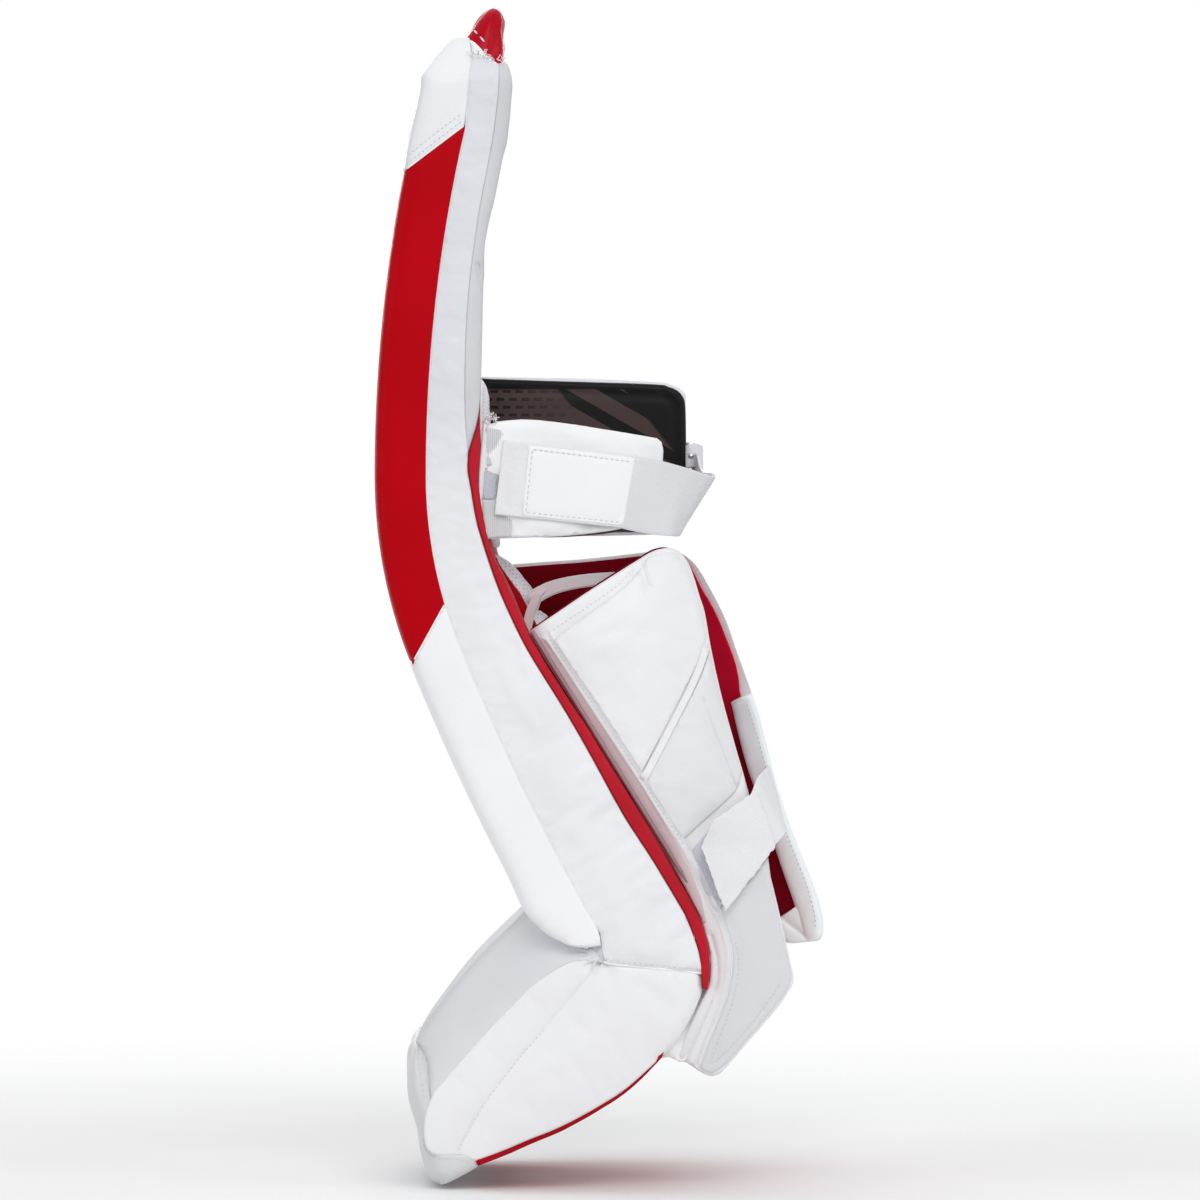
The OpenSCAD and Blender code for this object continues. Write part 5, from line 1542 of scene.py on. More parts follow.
far_in_px = partial(wing_px, sign=1, base=-15)
FAR_LINING_TOP = [(514, 567.5), (545, 565), (580, 562.5), (610, 559.5), (640, 556), (665, 552.5), (679, 553.5)]
FAR_LINING_REAR = [
    (679, 553.5), (687, 561), (694, 573), (702, 589), (711, 604), (719, 620), (725, 635), (731, 650), (736, 665),
    (739, 680), (741, 697), (752, 725), (764, 770), (780, 825), (795, 860), (805, 890), (811, 920),
]
far_lining_run = outline(
    far_in_px(FAR_LINING_TOP),
    far_in_px(FAR_LINING_REAR),
    np.vstack([far_in_px([(811, 920), (806, 934), (787, 938)]), [(28.0, -292.0), (4.0, -264.0)]]),
    np.vstack([[(4.0, -264.0), (4.0, 0.0)], far_in_px(FAR_LINING_TOP[:1])]),
)
far_lining = panel(
    "inner_wing_lining_cloth", far_lining_run, wing(1, base=-SHELL_T, way=-1.0), 3.1, shaded_lining_cloth, radii=1.4, step=6,
    relief=lambda v, d: 0.8 * np.sin(v[:, 1] / 9.0 + v[:, 0] / 23.0) * rise(d, 12),
)
fit(far_lining, "inner_wing", "inner_wing_lining", fill=0.8)

bind_px, bind_face = partial(wing_px, sign=1, base=-17), wing(1, base=-15.2, way=-1.0)
binding_run = closed(
    bind_px,
    [(741, 697), (752, 693.5)],
    [(757.5, 710), (765.5, 740), (773, 770), (780, 795), (789.5, 824),
     (803, 859), (814.5, 889), (821.5, 915), (822, 931)],
    [(818, 939), (806, 941)],
    [(800.5, 925), (795, 906), (784, 875), (774, 845), (768, 825), (761, 805), (748, 770), (738.5, 735), (731, 702)],
)
# the binding's leather is lightened and cooled as painted light
binding = panel(
    "inner_wing_binding_roll", binding_run, bind_face, 5.4, painted_light_binding_leather, bottom=-9.0,
    radii={0: 1.5, 1: 6.5, 2: 4.0, 3: 4.5}, step=3.5,
    relief=lambda v, d: 0.45 * np.sin(v[:, 1] / 4.3) * np.exp(-d / 4) + 0.3 * np.sin(v[:, 1] / 11),
)
fit(binding, "inner_wing", "inner_wing_binding", fill=0.9)
flap_run = closed(
    bind_px,
    [(787, 912.5), (797, 905.5)], [(803, 925), (808, 941)], [(796, 942), (786, 942)], [(777, 919)],
)
FLAP_FOLD = spline(bind_px([(780, 917), (793, 927), (808, 938)]), 2)
foot_flap = panel(
    "inner_wing_foot_flap", flap_run, bind_face, 3.4, painted_light_binding_leather, bottom=-9.0, radii=1.2, step=3,
    relief=lambda v, d: -2.0 * bell(line_dist(v, FLAP_FOLD), 1.6), lines=[(FLAP_FOLD, (-1.5, 0, 1.5))],
)
fit(foot_flap, "inner_wing", fill=0.8)

# hinge pipings, their white leather painted a dusky pink as shade with a painted red reflection
PIPING_RUN, PIPING_Y, PIPING_R = (-2.0, -240.0), 129.2, 1.8
for side, which in SIDES:
    path = xyz(WING_O + np.outer(np.linspace(*PIPING_RUN, 60), WING_V), side * PIPING_Y)
    piping = tube(f"{which}_wing_piping", path, PIPING_R, painted_shade_piping_leather)
    fit(piping, "shin", f"{which}_wing_welt", fill=1.0)

# The calf strap

STRAP_HIGH, STRAP_BEND, HOOK_BEND, WEBBING_T = 4.0, 8.0, 0.03, 2.6


def on_wing(points, high, **seat):
    """Places in space of picture points on the near side, at a height above a wing."""
    uv = wing_px(points, base=high, **seat)
    return wing(-1, base=high, **seat)(uv[:, 0], uv[:, 1], np.zeros(len(uv)))


def strap_edge(near_points, hook):
    """One edge of the strap: over the wing's outside, round a bend, and across to its hook."""
    near = spline(on_wing(near_points, STRAP_HIGH), 3.0)
    end, way, across = near[-1], near[-1] - near[-2], hook - near[-1]
    way /= np.linalg.norm(way)
    across /= np.linalg.norm(across)
    angles = np.linspace(0.15, math.pi / 2, 8)
    turn = [end + STRAP_BEND * (way * math.sin(a) + across * (1 - math.cos(a)) * 0.9) for a in angles]
    return np.vstack([near, turn, spline(np.array([turn[-1], hook]), 8.0)[1:]])


HOOK_TOP, HOOK_LOW = frame_point(100.0, 102.0, -190.0), frame_point(93.0, 102.0, -213.0)
CALF_TOP = [(706, 838), (718, 820), (735, 807), (749, 797), (753.5, 787.5)]
CALF_LOW = [(728, 904), (748, 880), (769, 852), (779, 840.5)]
calf_top, calf_low = even(strap_edge(CALF_TOP, HOOK_TOP), 90), even(strap_edge(CALF_LOW, HOOK_LOW), 90)
calf_band = fit(ribbon("calf_strap_webbing", calf_top, calf_low, WEBBING_T, webbing), None, "calf_strap_band")
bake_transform(calf_band)

TAB_BASE = 6
TAB_LEFT = wing_px([(713, 820), (701, 846), (713, 880), (725, 911)], base=TAB_BASE)
TAB_RIGHT = wing_px([(733, 806.5), (756, 790), (767, 818), (776, 846), (750, 880)], base=TAB_BASE)
rough = np.random.default_rng(7)


def ragged(points, step, amount):
    c = np.vstack([spline(points[i : i + 2], step)[:-1] for i in range(len(points) - 1)])
    return np.vstack([c + rough.normal(0, amount, c.shape), points[-1:]])


def tab_surface(u, v, h):
    """The tab lies on the strap and lifts off the wing towards its free end."""
    curl = 10.0 * np.exp(-line_dist(np.stack([u, v], -1), TAB_LEFT) / 11.0)
    return wing(-1, base=5.4)(u, v, h + curl)


tab_poly = ragged(np.vstack([TAB_LEFT[1::-1], TAB_RIGHT, TAB_LEFT[:0:-1]]), 2.2, 0.35)
calf_tab_run = outline(*[tab_poly[i : i + 2] for i in range(len(tab_poly) - 1)], step=2.5)
calf_tab = panel(
    "calf_strap_tab_pile", calf_tab_run, tab_surface, 2.2, pile, radii=0.9, step=4,
    relief=lambda v, d: -0.6 * bell(d - 6.0, 1.5) + 0.5 * np.sin(v[:, 0] / 9 + v[:, 1] / 7),
)
fit(calf_tab, "calf_strap", "calf_strap_tab", fill=0.9)

# leather that ties the inner wing to the pad all along its hinge, painted a greyish pink as shade and red reflected
# light
HINGE_RUN, HINGE_IN, HINGE_OUT, HINGE_BASE = (30.0, -236.0), -7.0, 10.0, -7.5
hinge_v = np.linspace(*HINGE_RUN, 60)
hinge_wing = [wing(1, base=HINGE_BASE)(HINGE_OUT, v, 0.0) for v in hinge_v]
hinge_pad = [frame_point(HINGE_IN - max(v, 0.0) / 3.0, hinge_wing[0][1], v) for v in hinge_v]
inner_hinge = ribbon("inner_wing_hinge_leather", hinge_pad, hinge_wing, 2.0, painted_shade_pink_leather, across=12)
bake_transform(inner_hinge)

# the strap's anchor on the inner wing; its free end is cut aslant
ANCHOR_U, ANCHOR_ENDS, ANCHOR_UP = 60.0, ((99.5, -188.0), (92.0, -213.0)), 1.8
anchor_face = wing(1, base=ANCHOR_UP)
anchor_edges = [[anchor_face(u, v, 0.0) for u in np.linspace(ANCHOR_U, end, 16)] for end, v in ANCHOR_ENDS]
anchor = ribbon("calf_strap_anchor_webbing", *anchor_edges, WEBBING_T, webbing)
fit(anchor, "inner_wing", "calf_strap_anchor")


# The knee block, wrap and strap

FILM_Y, FOAM_Y, LANDING_Y = (96.0, 101.2), (99.0, 133.8), (133.9, 139.5)
BLOCK_RIM, BLOCK_REAR = 2.6, 67.6
block_px = partial(px, y=FILM_Y[0])
BLOCK_TOP = block_px([
    (482, 378.5), (560, 381), (653, 384), (668, 386.5), (677, 390),
    (683, 396.5), (685.5, 407), (686.2, 440), (686.2, 470),
])
BLOCK_FOOT = np.array([(67.0, 70.0), (62.0, 58.0), (50.0, 54.0), (-70.0, 54.0), (-84.0, 60.0)])
block_face = outline(
    BLOCK_TOP,
    np.vstack([BLOCK_TOP[-1:], BLOCK_FOOT]),
    np.vstack([BLOCK_FOOT[-1:], [(-90.0, 80.0), (-92.5, 120.0)], BLOCK_TOP[:1]]),
)
block_liner = slab(
    "knee_block_liner_film", block_face, *FILM_Y, liner, near={0: 3.5, 1: 2.5, 2: 2.0}, far=0.4, step=4, rows=3,
    relief=lambda v, d: -1.2 * bell(d - 9.0, 2.5) + 1.0 * rise(d, 40),
)
fit(block_liner, "shin", "knee_block_liner", fill=0.9)
from_middle = block_face[0] - block_face[0].mean(0)
rim_poly = block_face[0] + from_middle / np.linalg.norm(from_middle, axis=1, keepdims=True) * BLOCK_RIM
rim_poly[:, 0] = np.minimum(rim_poly[:, 0], BLOCK_REAR)
rim_run = (rim_poly, block_face[1])


def block_sides(poly, ids, t, y):
    return 1.2 * np.sin(math.pi * t) ** 0.6 - 0.8 * bell(t - 0.55, 0.04) - 1.0


block_foam = slab(
    "knee_block_body", rim_run, *FOAM_Y, white_nylon, near=3.2, far=2.0, rows=14, crown=block_sides
)
fit(block_foam, "shin", "knee_block_foam", fill=0.95)
block_landing = slab(
    "knee_block_landing_pad", rim_run, *LANDING_Y, white_leather, near=1.0, far=3.0, bulge=(0, 0.8), rows=4
)
fit(block_landing, "shin", "knee_block_landing", fill=0.9)

WRAP_O = np.array([-81.297, 94.0])
WRAP = dict(origin=WRAP_O, ua=np.array([1.0, 0.0]), va=np.array([0.0, 1.0]))
wrap_face = wing(-1, **WRAP)


def wrap_px(points, base=0.0):
    return wing_px(points, base=base, **WRAP)


wrap_run = closed(
    wrap_px,
    [(490, 424), (497, 421.5), (527, 419.5), (561, 422.7), (590, 427), (616, 431.2), (645, 436), (657, 438.3)],
    [(661.5, 442), (663, 448), (663, 458), (661, 490), (655, 510)],
    [(645, 521), (622, 528.5), (590, 533.5), (560, 536.3), (520, 537.8), (484, 539)],
    [(482, 515), (481.5, 490), (482, 460), (484, 427)],
)
WRAP_CREASE = spline(wrap_px([(489, 432), (540, 438), (600, 447), (650, 452)]), 4)


def wrap_relief(v, d):
    slack = 0.9 * np.sin(v[:, 0] / 13.0 + v[:, 1] / 21.0) + 0.6 * np.sin(v[:, 1] / 6.0 + v[:, 0] / 40.0)
    return slack * rise(d, 10) - 1.1 * bell(line_dist(v, WRAP_CREASE), 2.2)


wrap_pad = panel(
    "knee_wrap_body", wrap_run, wrap_face, 0.0, wrap_nylon, bottom=-6.0,
    radii={0: 2.8, 1: 3.0, 2: 2.8, 3: 1.5}, relief=wrap_relief,
)
v = points_of(wrap_pad)
uv = v[:, [0, 2]] - WRAP_O
under = v[:, 1] > wrap_face(uv[:, 0], uv[:, 1], np.zeros(len(uv)))[:, 1] + 4.5
edge = np.exp(-rim_dist(uv, wrap_run[0]) / 5)
puff(wrap_pad, np.where(under, 1.0, edge), pressure=2.5, cap=2.0, grow=0.02)
fit(wrap_pad, "knee_wrap", "knee_wrap_pad", fill=0.6)

wrap_in = closed(
    partial(wrap_px, base=-8),
    [(527, 422.5), (561, 425.7), (616, 434.2), (652, 440)],
    [(659, 446), (660, 458), (657, 495)],
    [(645, 521), (616, 532), (566, 537), (520, 537), (488, 536)],
    [(486, 490), (488, 426)],
)
wrap_inside = wing(-1, base=-6.0, way=-1.0, **WRAP)
wrap_lining = panel("knee_wrap_lining_film", wrap_in, wrap_inside, 3.0, liner, bottom=-0.5, radii=1.4, step=6)
fit(wrap_lining, "knee_wrap", "knee_wrap_lining", fill=0.8)

RIB, ELASTIC_HIGH = 1.6, 1.4


def ribbed(name, corners):
    """Elastic tape with its ribs: corners run top left, top right, low right, low left, in the picture."""
    tl, tr, lr, ll = wrap_px(corners)
    wide = np.linalg.norm(tr - tl)
    cols, rows = int(wide / 0.4), 14
    ss, tt = np.meshgrid(np.linspace(0, 1, cols + 1), np.linspace(0, 1, rows + 1))
    s, t = ss[..., None], tt[..., None]
    p = (tl + (tr - tl) * s) * (1 - t) + (ll + (lr - ll) * s) * t
    hems = np.exp(-ss * wide / 0.8) + np.exp(-(1 - ss) * wide / 0.8)
    h = ELASTIC_HIGH + 0.35 * np.cos(2 * math.pi * ss * wide / RIB) - 0.8 * hems
    h = h + 0.5 * np.sin(3 * tt + 1) * np.sin(math.pi * ss)
    verts = [wrap_face(p[..., 0], p[..., 1], high).reshape(-1, 3) for high in (h, np.full_like(h, -0.5))]
    n = np.arange((rows + 1) * (cols + 1)).reshape(rows + 1, cols + 1)
    below, faces = n.size, []
    for q in zip(n[:-1, :-1].flat, n[:-1, 1:].flat, n[1:, 1:].flat, n[1:, :-1].flat):
        faces += [q, tuple(x + below for x in reversed(q))]
    edge = np.concatenate([n[0], n[1:, -1], n[-1, -2::-1], n[-2:0:-1, 0]])
    faces += [(a, b, b + below, a + below) for a, b in zip(edge, np.roll(edge, -1))]
    return finish_mesh(new_object(name, np.vstack(verts), faces, elastic))


elastic_up = ribbed("knee_wrap_elastic_upper", [(486.5, 427.5), (505, 431), (502, 467), (486.5, 466)])
fit(elastic_up, "knee_wrap", "knee_wrap_elastics", fill=0.9)
elastic_low = ribbed("knee_wrap_elastic_lower", [(482.5, 499.5), (513, 501), (511.5, 537), (484.5, 538.5)])
fit(elastic_low, "knee_wrap", fill=0.9)

# the mesh in the gap is real; its dark lavender grey is painted shade
gap_run = closed(wrap_px, [(499.5, 467.5)], [(497, 500)], [(482.5, 499)], [(485, 467)], step=3)
gap_mesh = panel("knee_wrap_side_mesh", gap_run, wrap_face, 0.9, shaded_lavender_mesh, bottom=-1.0, radii=0.5, step=3)
fit(gap_mesh, "knee_wrap", fill=0.8)

# white sewn margin where the wrap meets the pad
margin = px([(485, 424), (483.5, 440), (481.5, 462), (480.5, 480), (480.5, 500), (482.5, 520), (486, 545)], y=-134)
wrap_margin = tube("knee_wrap_margin", xyz(spline(margin, 3), -133.0), 1.5, white_nylon)
fit(wrap_margin, "shin", "knee_wrap_welt", fill=1.0)

# knee strap: a broad tab on the wrap, then webbing that turns back to its ring on the block
tab_run = closed(
    partial(wrap_px, base=5),
    [(540, 444.3), (590, 450), (637, 455.5)], [(624, 528)],
    [(580, 523.5), (540, 519.3), (494.5, 514.5)], [(499, 477), (503.5, 440)],
    step=3,
)


def tab_relief(v, d):
    return -0.5 * bell(d - 6.5, 0.9) + 0.25 * np.sin(v[:, 0] / 8 + v[:, 1] / 5) * rise(d, 5)


knee_tab = panel(
    "knee_strap_tab_cover", tab_run, wing(-1, base=3.2, **WRAP), 3.2, pile, radii=1.0, step=4,
    relief=tab_relief, rings=(0.15, 0.5, 1.0, 2.5, 5.0, 6.5, 8.0),
)
tab_patch_run = closed(
    partial(wrap_px, base=6),
    [(580, 451.5), (634.5, 458)], [(623, 525.5)], [(575, 521), (522, 515.5)], [(529, 445.7)],
    step=3,
)
tab_patch = panel(
    "knee_strap_tab_patch", tab_patch_run, wing(-1, base=6.2, **WRAP), 1.0, lit_white_leather,
    bottom=-0.4, radii=0.5, step=4, rings=(0.15, 0.5, 2.2, 3.4, 4.6),
    relief=lambda v, d: -0.35 * bell(d - 3.4, 0.8),
)
fit(tab_patch, "knee_strap", fill=0.9)
fit(knee_tab, "knee_strap", "knee_strap_tab", fill=0.9)

BAND_HIGH = 3.4
corner_top, corner_low = px([(714.5, 477)], y=-70)[0], px([(679, 536.5)], y=-84)[0]
band_top = np.vstack([
    on_wing([(632, 455.5), (655, 459.5), (680, 466), (704, 473.5)], BAND_HIGH, **WRAP),
    (corner_top[0] - 2.0, -74.0, corner_top[1] + 0.6),
    (corner_top[0], -66.0, corner_top[1]),
    (corner_top[0] - 0.5, -50.0, corner_top[1] + 3.0),
    [(79.5, 20.0, 100.0), (76.5, 92.0, 115.0), (73.6, 109.0, 117.0)],
])
band_low = np.vstack([
    on_wing([(619, 528), (640, 532.5), (657, 535), (670, 536)], BAND_HIGH, **WRAP),
    (corner_low[0] - 2.0, -87.0, corner_low[1]),
    (corner_low[0], -79.0, corner_low[1] + 0.5),
    (corner_low[0] + 0.5, -60.0, corner_low[1] + 3.0),
    [(69.0, 20.0, 67.0), (76.5, 92.0, 84.0), (73.6, 109.0, 86.0)],
])
knee_band = ribbon("knee_strap_webbing", even(band_top, 110, 3.0), even(band_low, 110, 3.0), 2.4, knee_webbing)
fit(knee_band, "knee_strap", "knee_strap_band")

# the strap's ring, its keeper sewn to the block, and the rivet through it
RING_X, RING_Y, RING_Z, RING_WIRE = (68.6, 74.6), 112.0, (84.0, 123.0), 1.7
KEEPER_Z, KEEPER_HALF, KEEPER_T = 113.0, 9.0, 1.6
(x0, x1), (z0, z1) = RING_X, RING_Z
ring_path = bent(np.array([(x0, z0), (x1, z0), (x1, z1), (x0, z1), (x0, z0)]), 4)
strap_ring = tube("knee_strap_ring_wire", xyz(ring_path, RING_Y), RING_WIRE, steel, sides=10)
fit(strap_ring, "shin", "knee_strap_ring")
keeper_x, keeper_y = spline([
    (67.8, 98.5), (70.5, 96.5), (75.0, 99.0), (79.5, 106.0), (80.5, 112.0), (78.0, 117.0), (71.0, 118.0), (67.8, 117.0),
], 1.5).T
keeper_z = KEEPER_Z + 1.2 * np.sin(np.linspace(0, 7, len(keeper_x)))
keeper_edges = [np.stack([keeper_x, keeper_y, keeper_z + half], -1) for half in (KEEPER_HALF, -KEEPER_HALF)]
keeper = fit(ribbon("knee_ring_keeper", *keeper_edges, KEEPER_T, white_nylon), "shin")
RIVET_AT, RIVET_STEPS = (71.7, 113.4), ((2.2, 97.0), (2.2, 95.4), (1.7, 94.8), (0.7, 94.5))
rivet_turn = np.linspace(0, 2 * math.pi, 25)[:-1]
rivet_rings = [
    [(RIVET_AT[0] + r * math.cos(a), y, RIVET_AT[1] + r * math.sin(a)) for a in rivet_turn] for r, y in RIVET_STEPS
]
fit(loft("knee_keeper_rivet", np.array(rivet_rings), steel, sharp=40), "shin")


def loose_threads(name, centres, y, body, seed, reach):
    """Frayed ends: short curly threads, five about each of the given places."""
    pick = np.random.default_rng(seed)
    t = np.linspace(0, 1, 9)[:, None]
    verts, faces = [], []
    for x, z in np.repeat(centres, 5, axis=0):
        start = np.array([x, y, z]) + pick.normal(0, 0.9, 3)
        way = pick.normal(0, 1, 3) + np.array([0.0, -0.6, 0.7])
        way /= np.linalg.norm(way)
        side = np.cross(way, pick.normal(0, 1, 3))
        path = start + way * reach * pick.uniform(0.5, 1.0) * t + side * 1.4 * np.sin(t * pick.uniform(2, 5))
        for k, p in enumerate(path):
            base = len(verts)
            verts += [p + 0.34 * np.array([math.cos(g), 0.4, math.sin(g)]) for g in (0.3, 2.4, 4.5)]
            if k:
                faces += [(base - 3 + i, base - 3 + j, base + j, base + i) for i, j in ((0, 1), (1, 2), (2, 0))]
    fit(new_object(name, verts, faces, thread_bright), body)


WRAP_FRAY = px([(485, 422), (487, 418), (490, 416.5), (493, 419), (496, 421)], y=-132.0)
CAP_FRAY = px([(473, 54.5), (478, 55), (482, 56.5), (485.5, 54), (488, 58), (491, 60), (500, 60)], y=-122.0)
loose_threads("knee_wrap_fray", WRAP_FRAY, -132.0, "knee_wrap", 3, reach=4.5)
loose_threads("thigh_cap_fray", CAP_FRAY, -126.0, "thigh", 5, reach=4.0)


# The leg channel: cushions and calf sling

CUSHION_HALF, CUSHION_TURN = 85.0, 16.0


def rounded_box(s0, s1, y0, y1, turn):
    """Outline of a box in length and width, its corners rounded."""
    box = [(s0, y0), (s1, y0), (s1, y1), (s0, y1), (s0, y0)]
    poly, ids = outline(*[np.array(box[i : i + 2]) for i in range(4)], step=6)
    for cs, sx in ((s0, 1), (s1, -1)):
        for cy, sy in ((y0, 1), (y1, -1)):
            c = np.array([cs + sx * turn, cy + sy * turn])
            k = ((poly[:, 0] - c[0]) * sx < 0) & ((poly[:, 1] - c[1]) * sy < 0)
            w = poly[k] - c
            poly[k] = c + w * (np.abs(w).max(1) / np.maximum(np.linalg.norm(w, axis=1), 1e-9))[:, None]
    return poly, ids


def channel_cushion(name, s0, s1, crown, grooves, slope, mid=0.0):
    """Quilted cushion on the pad's back, from length s0 to s1, rising over its slope at the top."""
    y0, y1 = mid - CUSHION_HALF, mid + CUSHION_HALF

    def place(s, y, h):
        return xyz(at(s, back_d(s) + 0.4 + h), y)

    def quilt(v, d):
        out = np.zeros(len(v))
        for g in grooves:
            out -= 0.55 * crown * bell(v[:, 0] - g, 4.0)
        return out + 0.5 * np.sin(v[:, 1] / 7.0 + v[:, 0] / 15.0)

    across = np.linspace(y0 + 8, y1 - 8, 40)
    o = panel(
        f"{name}_mesh", rounded_box(s0, s1, y0, y1, CUSHION_TURN), place,
        lambda v: crown * np.sqrt(np.clip((v[:, 0] - s0) / slope, 0.03, 1)), mesh_fabric,
        radii=crown * 0.95, relief=quilt, step=7, rings=(0.4, 2.0, 5.0, 9.0),
        lines=[(np.stack([np.full(40, g), across], -1), (-4.0, 0.0, 4.0)) for g in grooves],
    )
    edge = np.exp(-(CUSHION_HALF - np.abs(points_of(o)[:, 1] - mid)).clip(0) / 6.0)
    facing = np.array([n.vector[:] for n in o.data.vertex_normals])
    puff(o, np.where(facing[:, 0] < 0.2, 1.0, edge), pressure=3.0, cap=3.0, grow=0.01)
    return fit(o, "shin", name, fill=0.7)


channel_cushion("knee_cushion", -80.0, 68.0, 4.5, (-30.0, 20.0), slope=60.0, mid=-1.0)
channel_cushion("shin_cushion", 76.0, 388.0, 14.5, (140.0, 202.0, 264.0, 326.0), slope=45.0)

# dark red walls round the foot of the shin's cushion
WALL_S, WALL_HIGH, WALL_Y = (80.0, 388.0), 8.0, 87.6
wall_s = np.linspace(*WALL_S, 60)
wall_high = WALL_HIGH * np.clip((wall_s - WALL_S[0]) / 40.0, 0.15, 1)
for side, which in SIDES:
    edges = [xyz(at(wall_s, back_d(wall_s) + high), side * WALL_Y) for high in (wall_high, 0.2)]
    fit(ribbon(f"shin_cushion_wall_{which}", *edges, 1.4, red_deep), "shin", fill=1.0)

# calf sling: a soft elastic loop across the channel's top, sewn down at its two ends
SLING_NEAR, SLING_FAR, SLING_HALF, SLING_Y = 12.0, 84.0, 5.2, 93.0
sling_turn = np.linspace(-math.pi / 2, math.pi / 2, 64)
sling_u = SLING_NEAR + (SLING_FAR - SLING_NEAR) * (1 - (1 - np.cos(sling_turn)) ** 2.4)
sling_v = 19.5 - 23.0 * rise(sling_u - 22.0, 56.0) ** 1.5
sling_edges = [
    [frame_point(u, y, v + half) for u, y, v in zip(sling_u, SLING_Y * np.sin(sling_turn), sling_v)]
    for half in (SLING_HALF, -SLING_HALF)
]
sling = fit(ribbon("calf_sling_elastic", *sling_edges, 3.4, sling_cloth, across=10), "shin", "calf_sling")
# the sling's ends: white posts sewn down beside the cushion
POST = px([(541, 592), (536, 598), (532, 607), (529, 618), (526, 632)], y=-SLING_Y)
POST_HALF = np.array([4.2, 0.0, 1.6])
for side, which in SIDES:
    post = spline(xyz(POST, side * (SLING_Y + 1.0)), 2.5)
    end = ribbon(f"calf_sling_end_{which}", post + POST_HALF, post - POST_HALF, 5.0, sling_cloth, across=8)
    fit(end, "shin", fill=0.9)

# Seams and stitches

side_tree = tree_of(outer_strip, shin_face, thigh_face, stripe, outer_gusset, boot_face, toe_cap, back_panel)
cap_tree, tab_tree, bind_tree = tree_of(top_cap), tree_of(tab_patch), tree_of(binding)
wing_tree = tree_of(outer_wing, upper_panel, lower_panel, skirt)
FINE = dict(length=2.2, gap=1.5, r=0.34)


def sewn(name, body, tree, *paths, lift=0.15, **size):
    """Stitches along paths on the near side of the pieces in a tree."""
    fit(stitches(name, [on_side(tree, path, lift=lift) for path in paths], thread_white, **size), body)


ANKLE = px([(604, 962), (612, 964.3), (640, 967.2), (675, 970.8), (702.5, 973.6)])
ankle_cord = tube("ankle_seam_cord", xyz(spline(ANKLE, 3), -135.0), 0.95, painted_light_leather, sides=6)
fit(ankle_cord, "shin", fill=1.0)
ANKLE_ROW = px([(605, 957.5), (612, 960.5), (640, 963.5), (675, 967), (700, 969)])
sewn("ankle_stitches", "shin", side_tree, ANKLE_ROW, length=2.6, gap=1.6)
sewn("boot_side_stitches", "boot", side_tree, SIDE_SEAM[3:] + np.array([1.4, 0.8]), length=2.2, gap=1.4, r=0.32)
THIGH_ROWS = px([(462, 121), (436, 141), (406, 164)]), px([(461, 114), (436, 133), (408, 155)])
sewn("thigh_seam_stitches", "thigh", side_tree, *THIGH_ROWS, length=2.2, gap=1.5)
CAP_ROW = px([(473.5, 29.5), (479, 36), (486, 44.5)], y=50.0)
sewn("thigh_cap_stitches", "thigh", cap_tree, CAP_ROW, lift=0.5, length=6.0, gap=1.2, r=0.85)
BORDER_ROW = px([(548, 633.5), (570, 618.5), (588, 606.5), (616, 586.5), (634, 568)], y=-134.0)
sewn("wing_border_stitches", "outer_wing", wing_tree, BORDER_ROW, **FINE)
sewn("wing_ridge_stitches", "outer_wing", wing_tree, px(RIDGE_PX[:6], y=-134.0), **FINE)
SKIRT_ROW = px([(735, 940), (738, 962), (733, 998), (716, 1046), (716, 1060), (748, 1027), (780, 983)], y=-128.0)
sewn("wing_skirt_stitches", "outer_wing", wing_tree, SKIRT_ROW, length=2.4, gap=1.5, r=0.34)
TAB_ROWS = (
    [(532.5, 449.3), (580, 455), (630.5, 461)],
    [(525.7, 512.5), (575, 517.5), (620, 522)],
    [(532.5, 449.3), (525.7, 512.5)],
)
tab_rows = [px(row, y=-138) for row in TAB_ROWS]
sewn("knee_tab_stitches", "knee_strap", tab_tree, *tab_rows, length=2.6, gap=1.5, r=0.45)
BIND_ROW = px([
    (747, 703), (759, 740), (767, 770), (783, 823), (797, 859), (808.5, 889), (816, 917), (816.5, 930),
], y=75.0)
sewn("binding_stitches", "inner_wing", bind_tree, BIND_ROW, length=2.4, gap=1.5, r=0.4)

# gathers of the boot's leather beside the knot at the ankle
GATHER_FROM = (599, 957)
GATHERS = [(579, 944.5), (576, 950), (574, 956), (577, 961), (583, 967), (590, 972)]
for number, end in enumerate(GATHERS):
    halfway = ((GATHER_FROM[0] + end[0]) / 2, (GATHER_FROM[1] + end[1]) / 2 - 1.0)
    path, _ = on_side(side_tree, px([GATHER_FROM, halfway, end]), step=1.5, lift=-0.5)
    thick = 1.7 * np.sin(np.linspace(0.5, math.pi - 0.12, len(path))) ** 0.7
    fit(tube(f"ankle_gather_{number + 1}", path, thick, shaded_boot_leather), "shin", fill=0.9)
KNOT = [
    [(590, 948), (599, 957)], [(596, 946), (600, 958)], [(604, 950), (598, 962)],
    [(592, 957), (604, 955)], [(594, 962), (603, 967)], [(600, 960), (597, 968)],
]
sewn("ankle_knot", "shin", side_tree, *map(px, KNOT), lift=0.4, length=6.0, gap=1.0, r=0.5)
TOE_ROWS = (
    [(418, 1044), (417, 1062), (421, 1083), (424, 1100)],
    [(422, 1140), (425, 1153), (437, 1160), (452, 1160.5), (470, 1164)],
)
sewn("toe_stitches", "boot", side_tree, *map(px, TOE_ROWS), length=2.6, gap=1.6)

bend_at_ankle(boot_face)
for o in (outer_gusset, inner_gusset):
    bend_at_ankle(o)

# Camera, light and floor

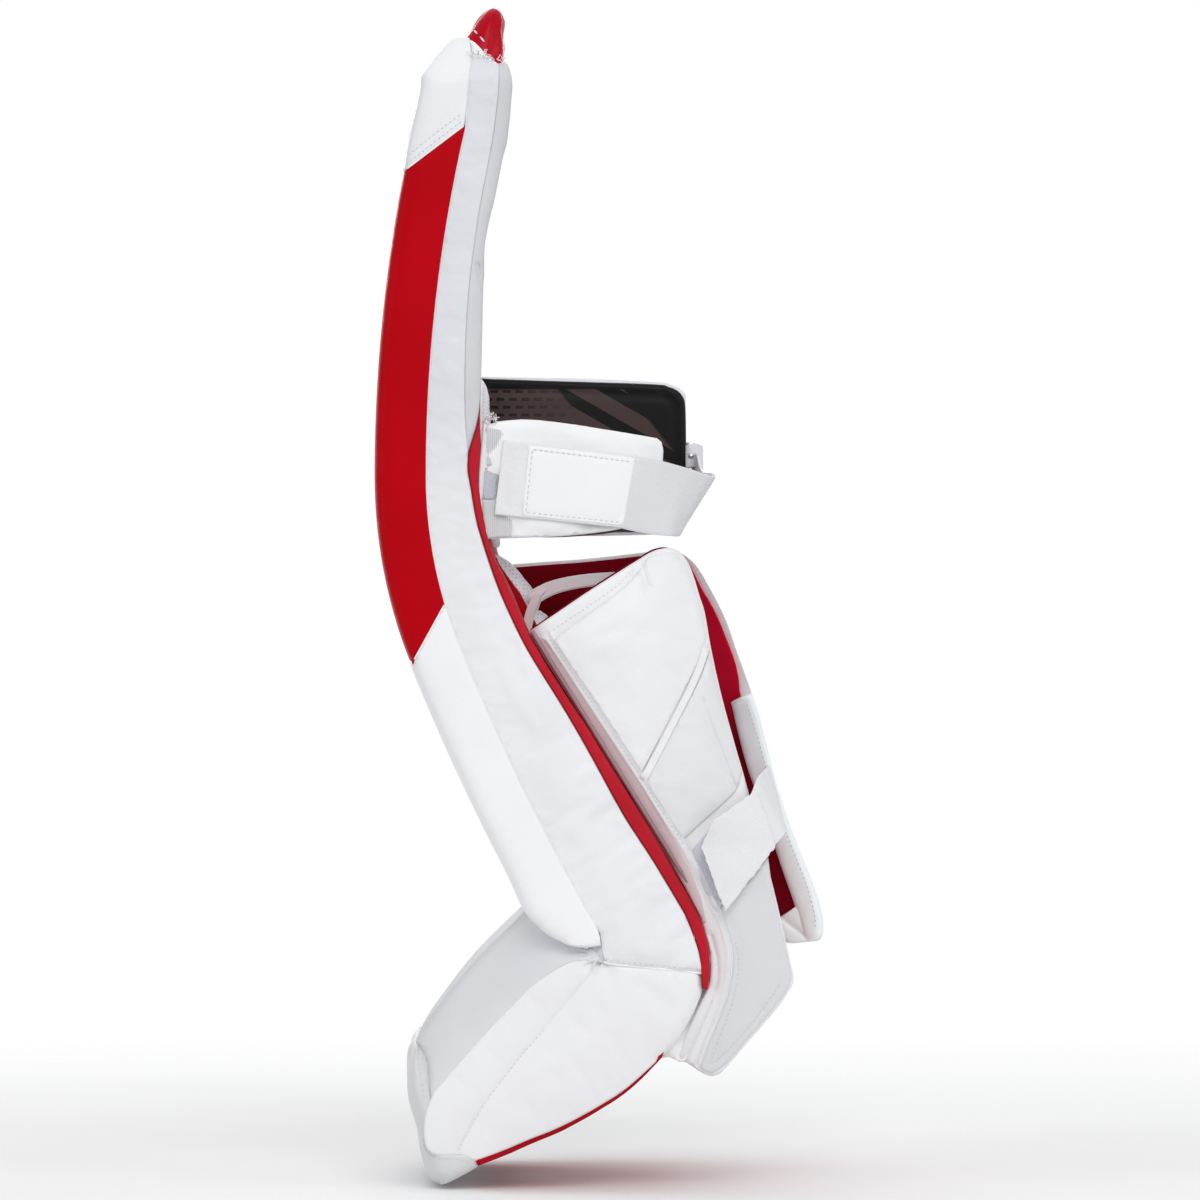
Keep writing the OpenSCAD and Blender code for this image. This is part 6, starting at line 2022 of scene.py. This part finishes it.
scene = bpy.context.scene
cam = bpy.data.cameras.new("camera")
cam.lens, cam.sensor_width = 186.7, 36.0
cam_obj = bpy.data.objects.new("camera", cam)
cam_obj.location = (0, -(CAMERA + NEAR) * MM, 0)
cam_obj.rotation_euler = (math.pi / 2, 0, 0)
scene.collection.objects.link(cam_obj)
scene.camera = cam_obj
scene.view_settings.view_transform = "Standard"


def area(name, place, size, power):
    light = bpy.data.lights.new(name, "AREA")
    light.shape, light.energy = "RECTANGLE", power
    light.size, light.size_y = size
    o = bpy.data.objects.new(name, light)
    o.location = place
    o.rotation_euler = (-Vector(place)).to_track_quat("-Z", "Y").to_euler()
    scene.collection.objects.link(o)


area("key", (0.5, -2.9, 2.0), (2.4, 2.0), 52)
area("left", (-2.7, -1.6, 0.5), (0.9, 2.4), 17)
area("right", (2.6, -1.6, 0.6), (0.9, 2.4), 17)
area("top", (0.0, 0.4, 3.0), (2.0, 2.0), 14)
area("rear", (-0.4, 3.0, 1.4), (2.4, 2.0), 40)


def make_world():
    """Plain white where it is seen or mirrored, and a dimmer, cooler white as light."""
    world = bpy.data.worlds.new("studio")
    world.use_nodes = True
    tree = world.node_tree
    tree.nodes.clear()
    out, mix = (tree.nodes.new(f"ShaderNode{kind}") for kind in ("OutputWorld", "MixShader"))
    rays = tree.nodes.new("ShaderNodeLightPath").outputs
    seen = rays["Is Camera Ray"]
    for name in ("Is Glossy Ray", "Is Transmission Ray"):
        either = tree.nodes.new("ShaderNodeMath")
        either.operation = "MAXIMUM"
        tree.links.new(seen, either.inputs[0])
        tree.links.new(rays[name], either.inputs[1])
        seen = either.outputs[0]
    tree.links.new(seen, mix.inputs[0])
    for socket, color, strength in ((1, (0.97, 0.985, 1, 1), 0.42), (2, (1, 1, 1, 1), 1.0)):
        white = tree.nodes.new("ShaderNodeBackground")
        white.inputs["Color"].default_value, white.inputs["Strength"].default_value = color, strength
        tree.links.new(white.outputs[0], mix.inputs[socket])
    tree.links.new(mix.outputs[0], out.inputs["Surface"])
    return world


def make_floor():
    """Pale floor that fades out away from the pad."""
    k = Mat("floor", 0.9, specular=0.0)
    k.color(k.mix(k.noise(3.0), (0.93, 0.93, 0.93), (0.95, 0.95, 0.95)))
    round_pad = k.node("ShaderNodeTexGradient", gradient_type="SPHERICAL")
    k.link(k.mapped(Scale=(0.62, 0.62, 0.0)), round_pad.inputs["Vector"])
    clear, fade = k.node("ShaderNodeBsdfTransparent"), k.node("ShaderNodeMixShader")
    k.link(k.ramp(round_pad.outputs["Fac"], 0.0, 1.0, 0.0, 0.7), fade.inputs[0])
    k.link(clear.outputs[0], fade.inputs[1])
    k.link(k.b.outputs[0], fade.inputs[2])
    k.link(fade.outputs[0], k.t.nodes["Material Output"].inputs["Surface"])
    low, half = cad_box[0][2] / MM - 1.0, 1700.0
    corners = [(-half, -half, low), (half, -half, low), (half, half, low), (-half, half, low)]
    return new_object("floor", corners, [(0, 1, 2, 3)], k.m, smooth=False)


scene.world = make_world()
make_floor()

bpy.context.view_layer.update()
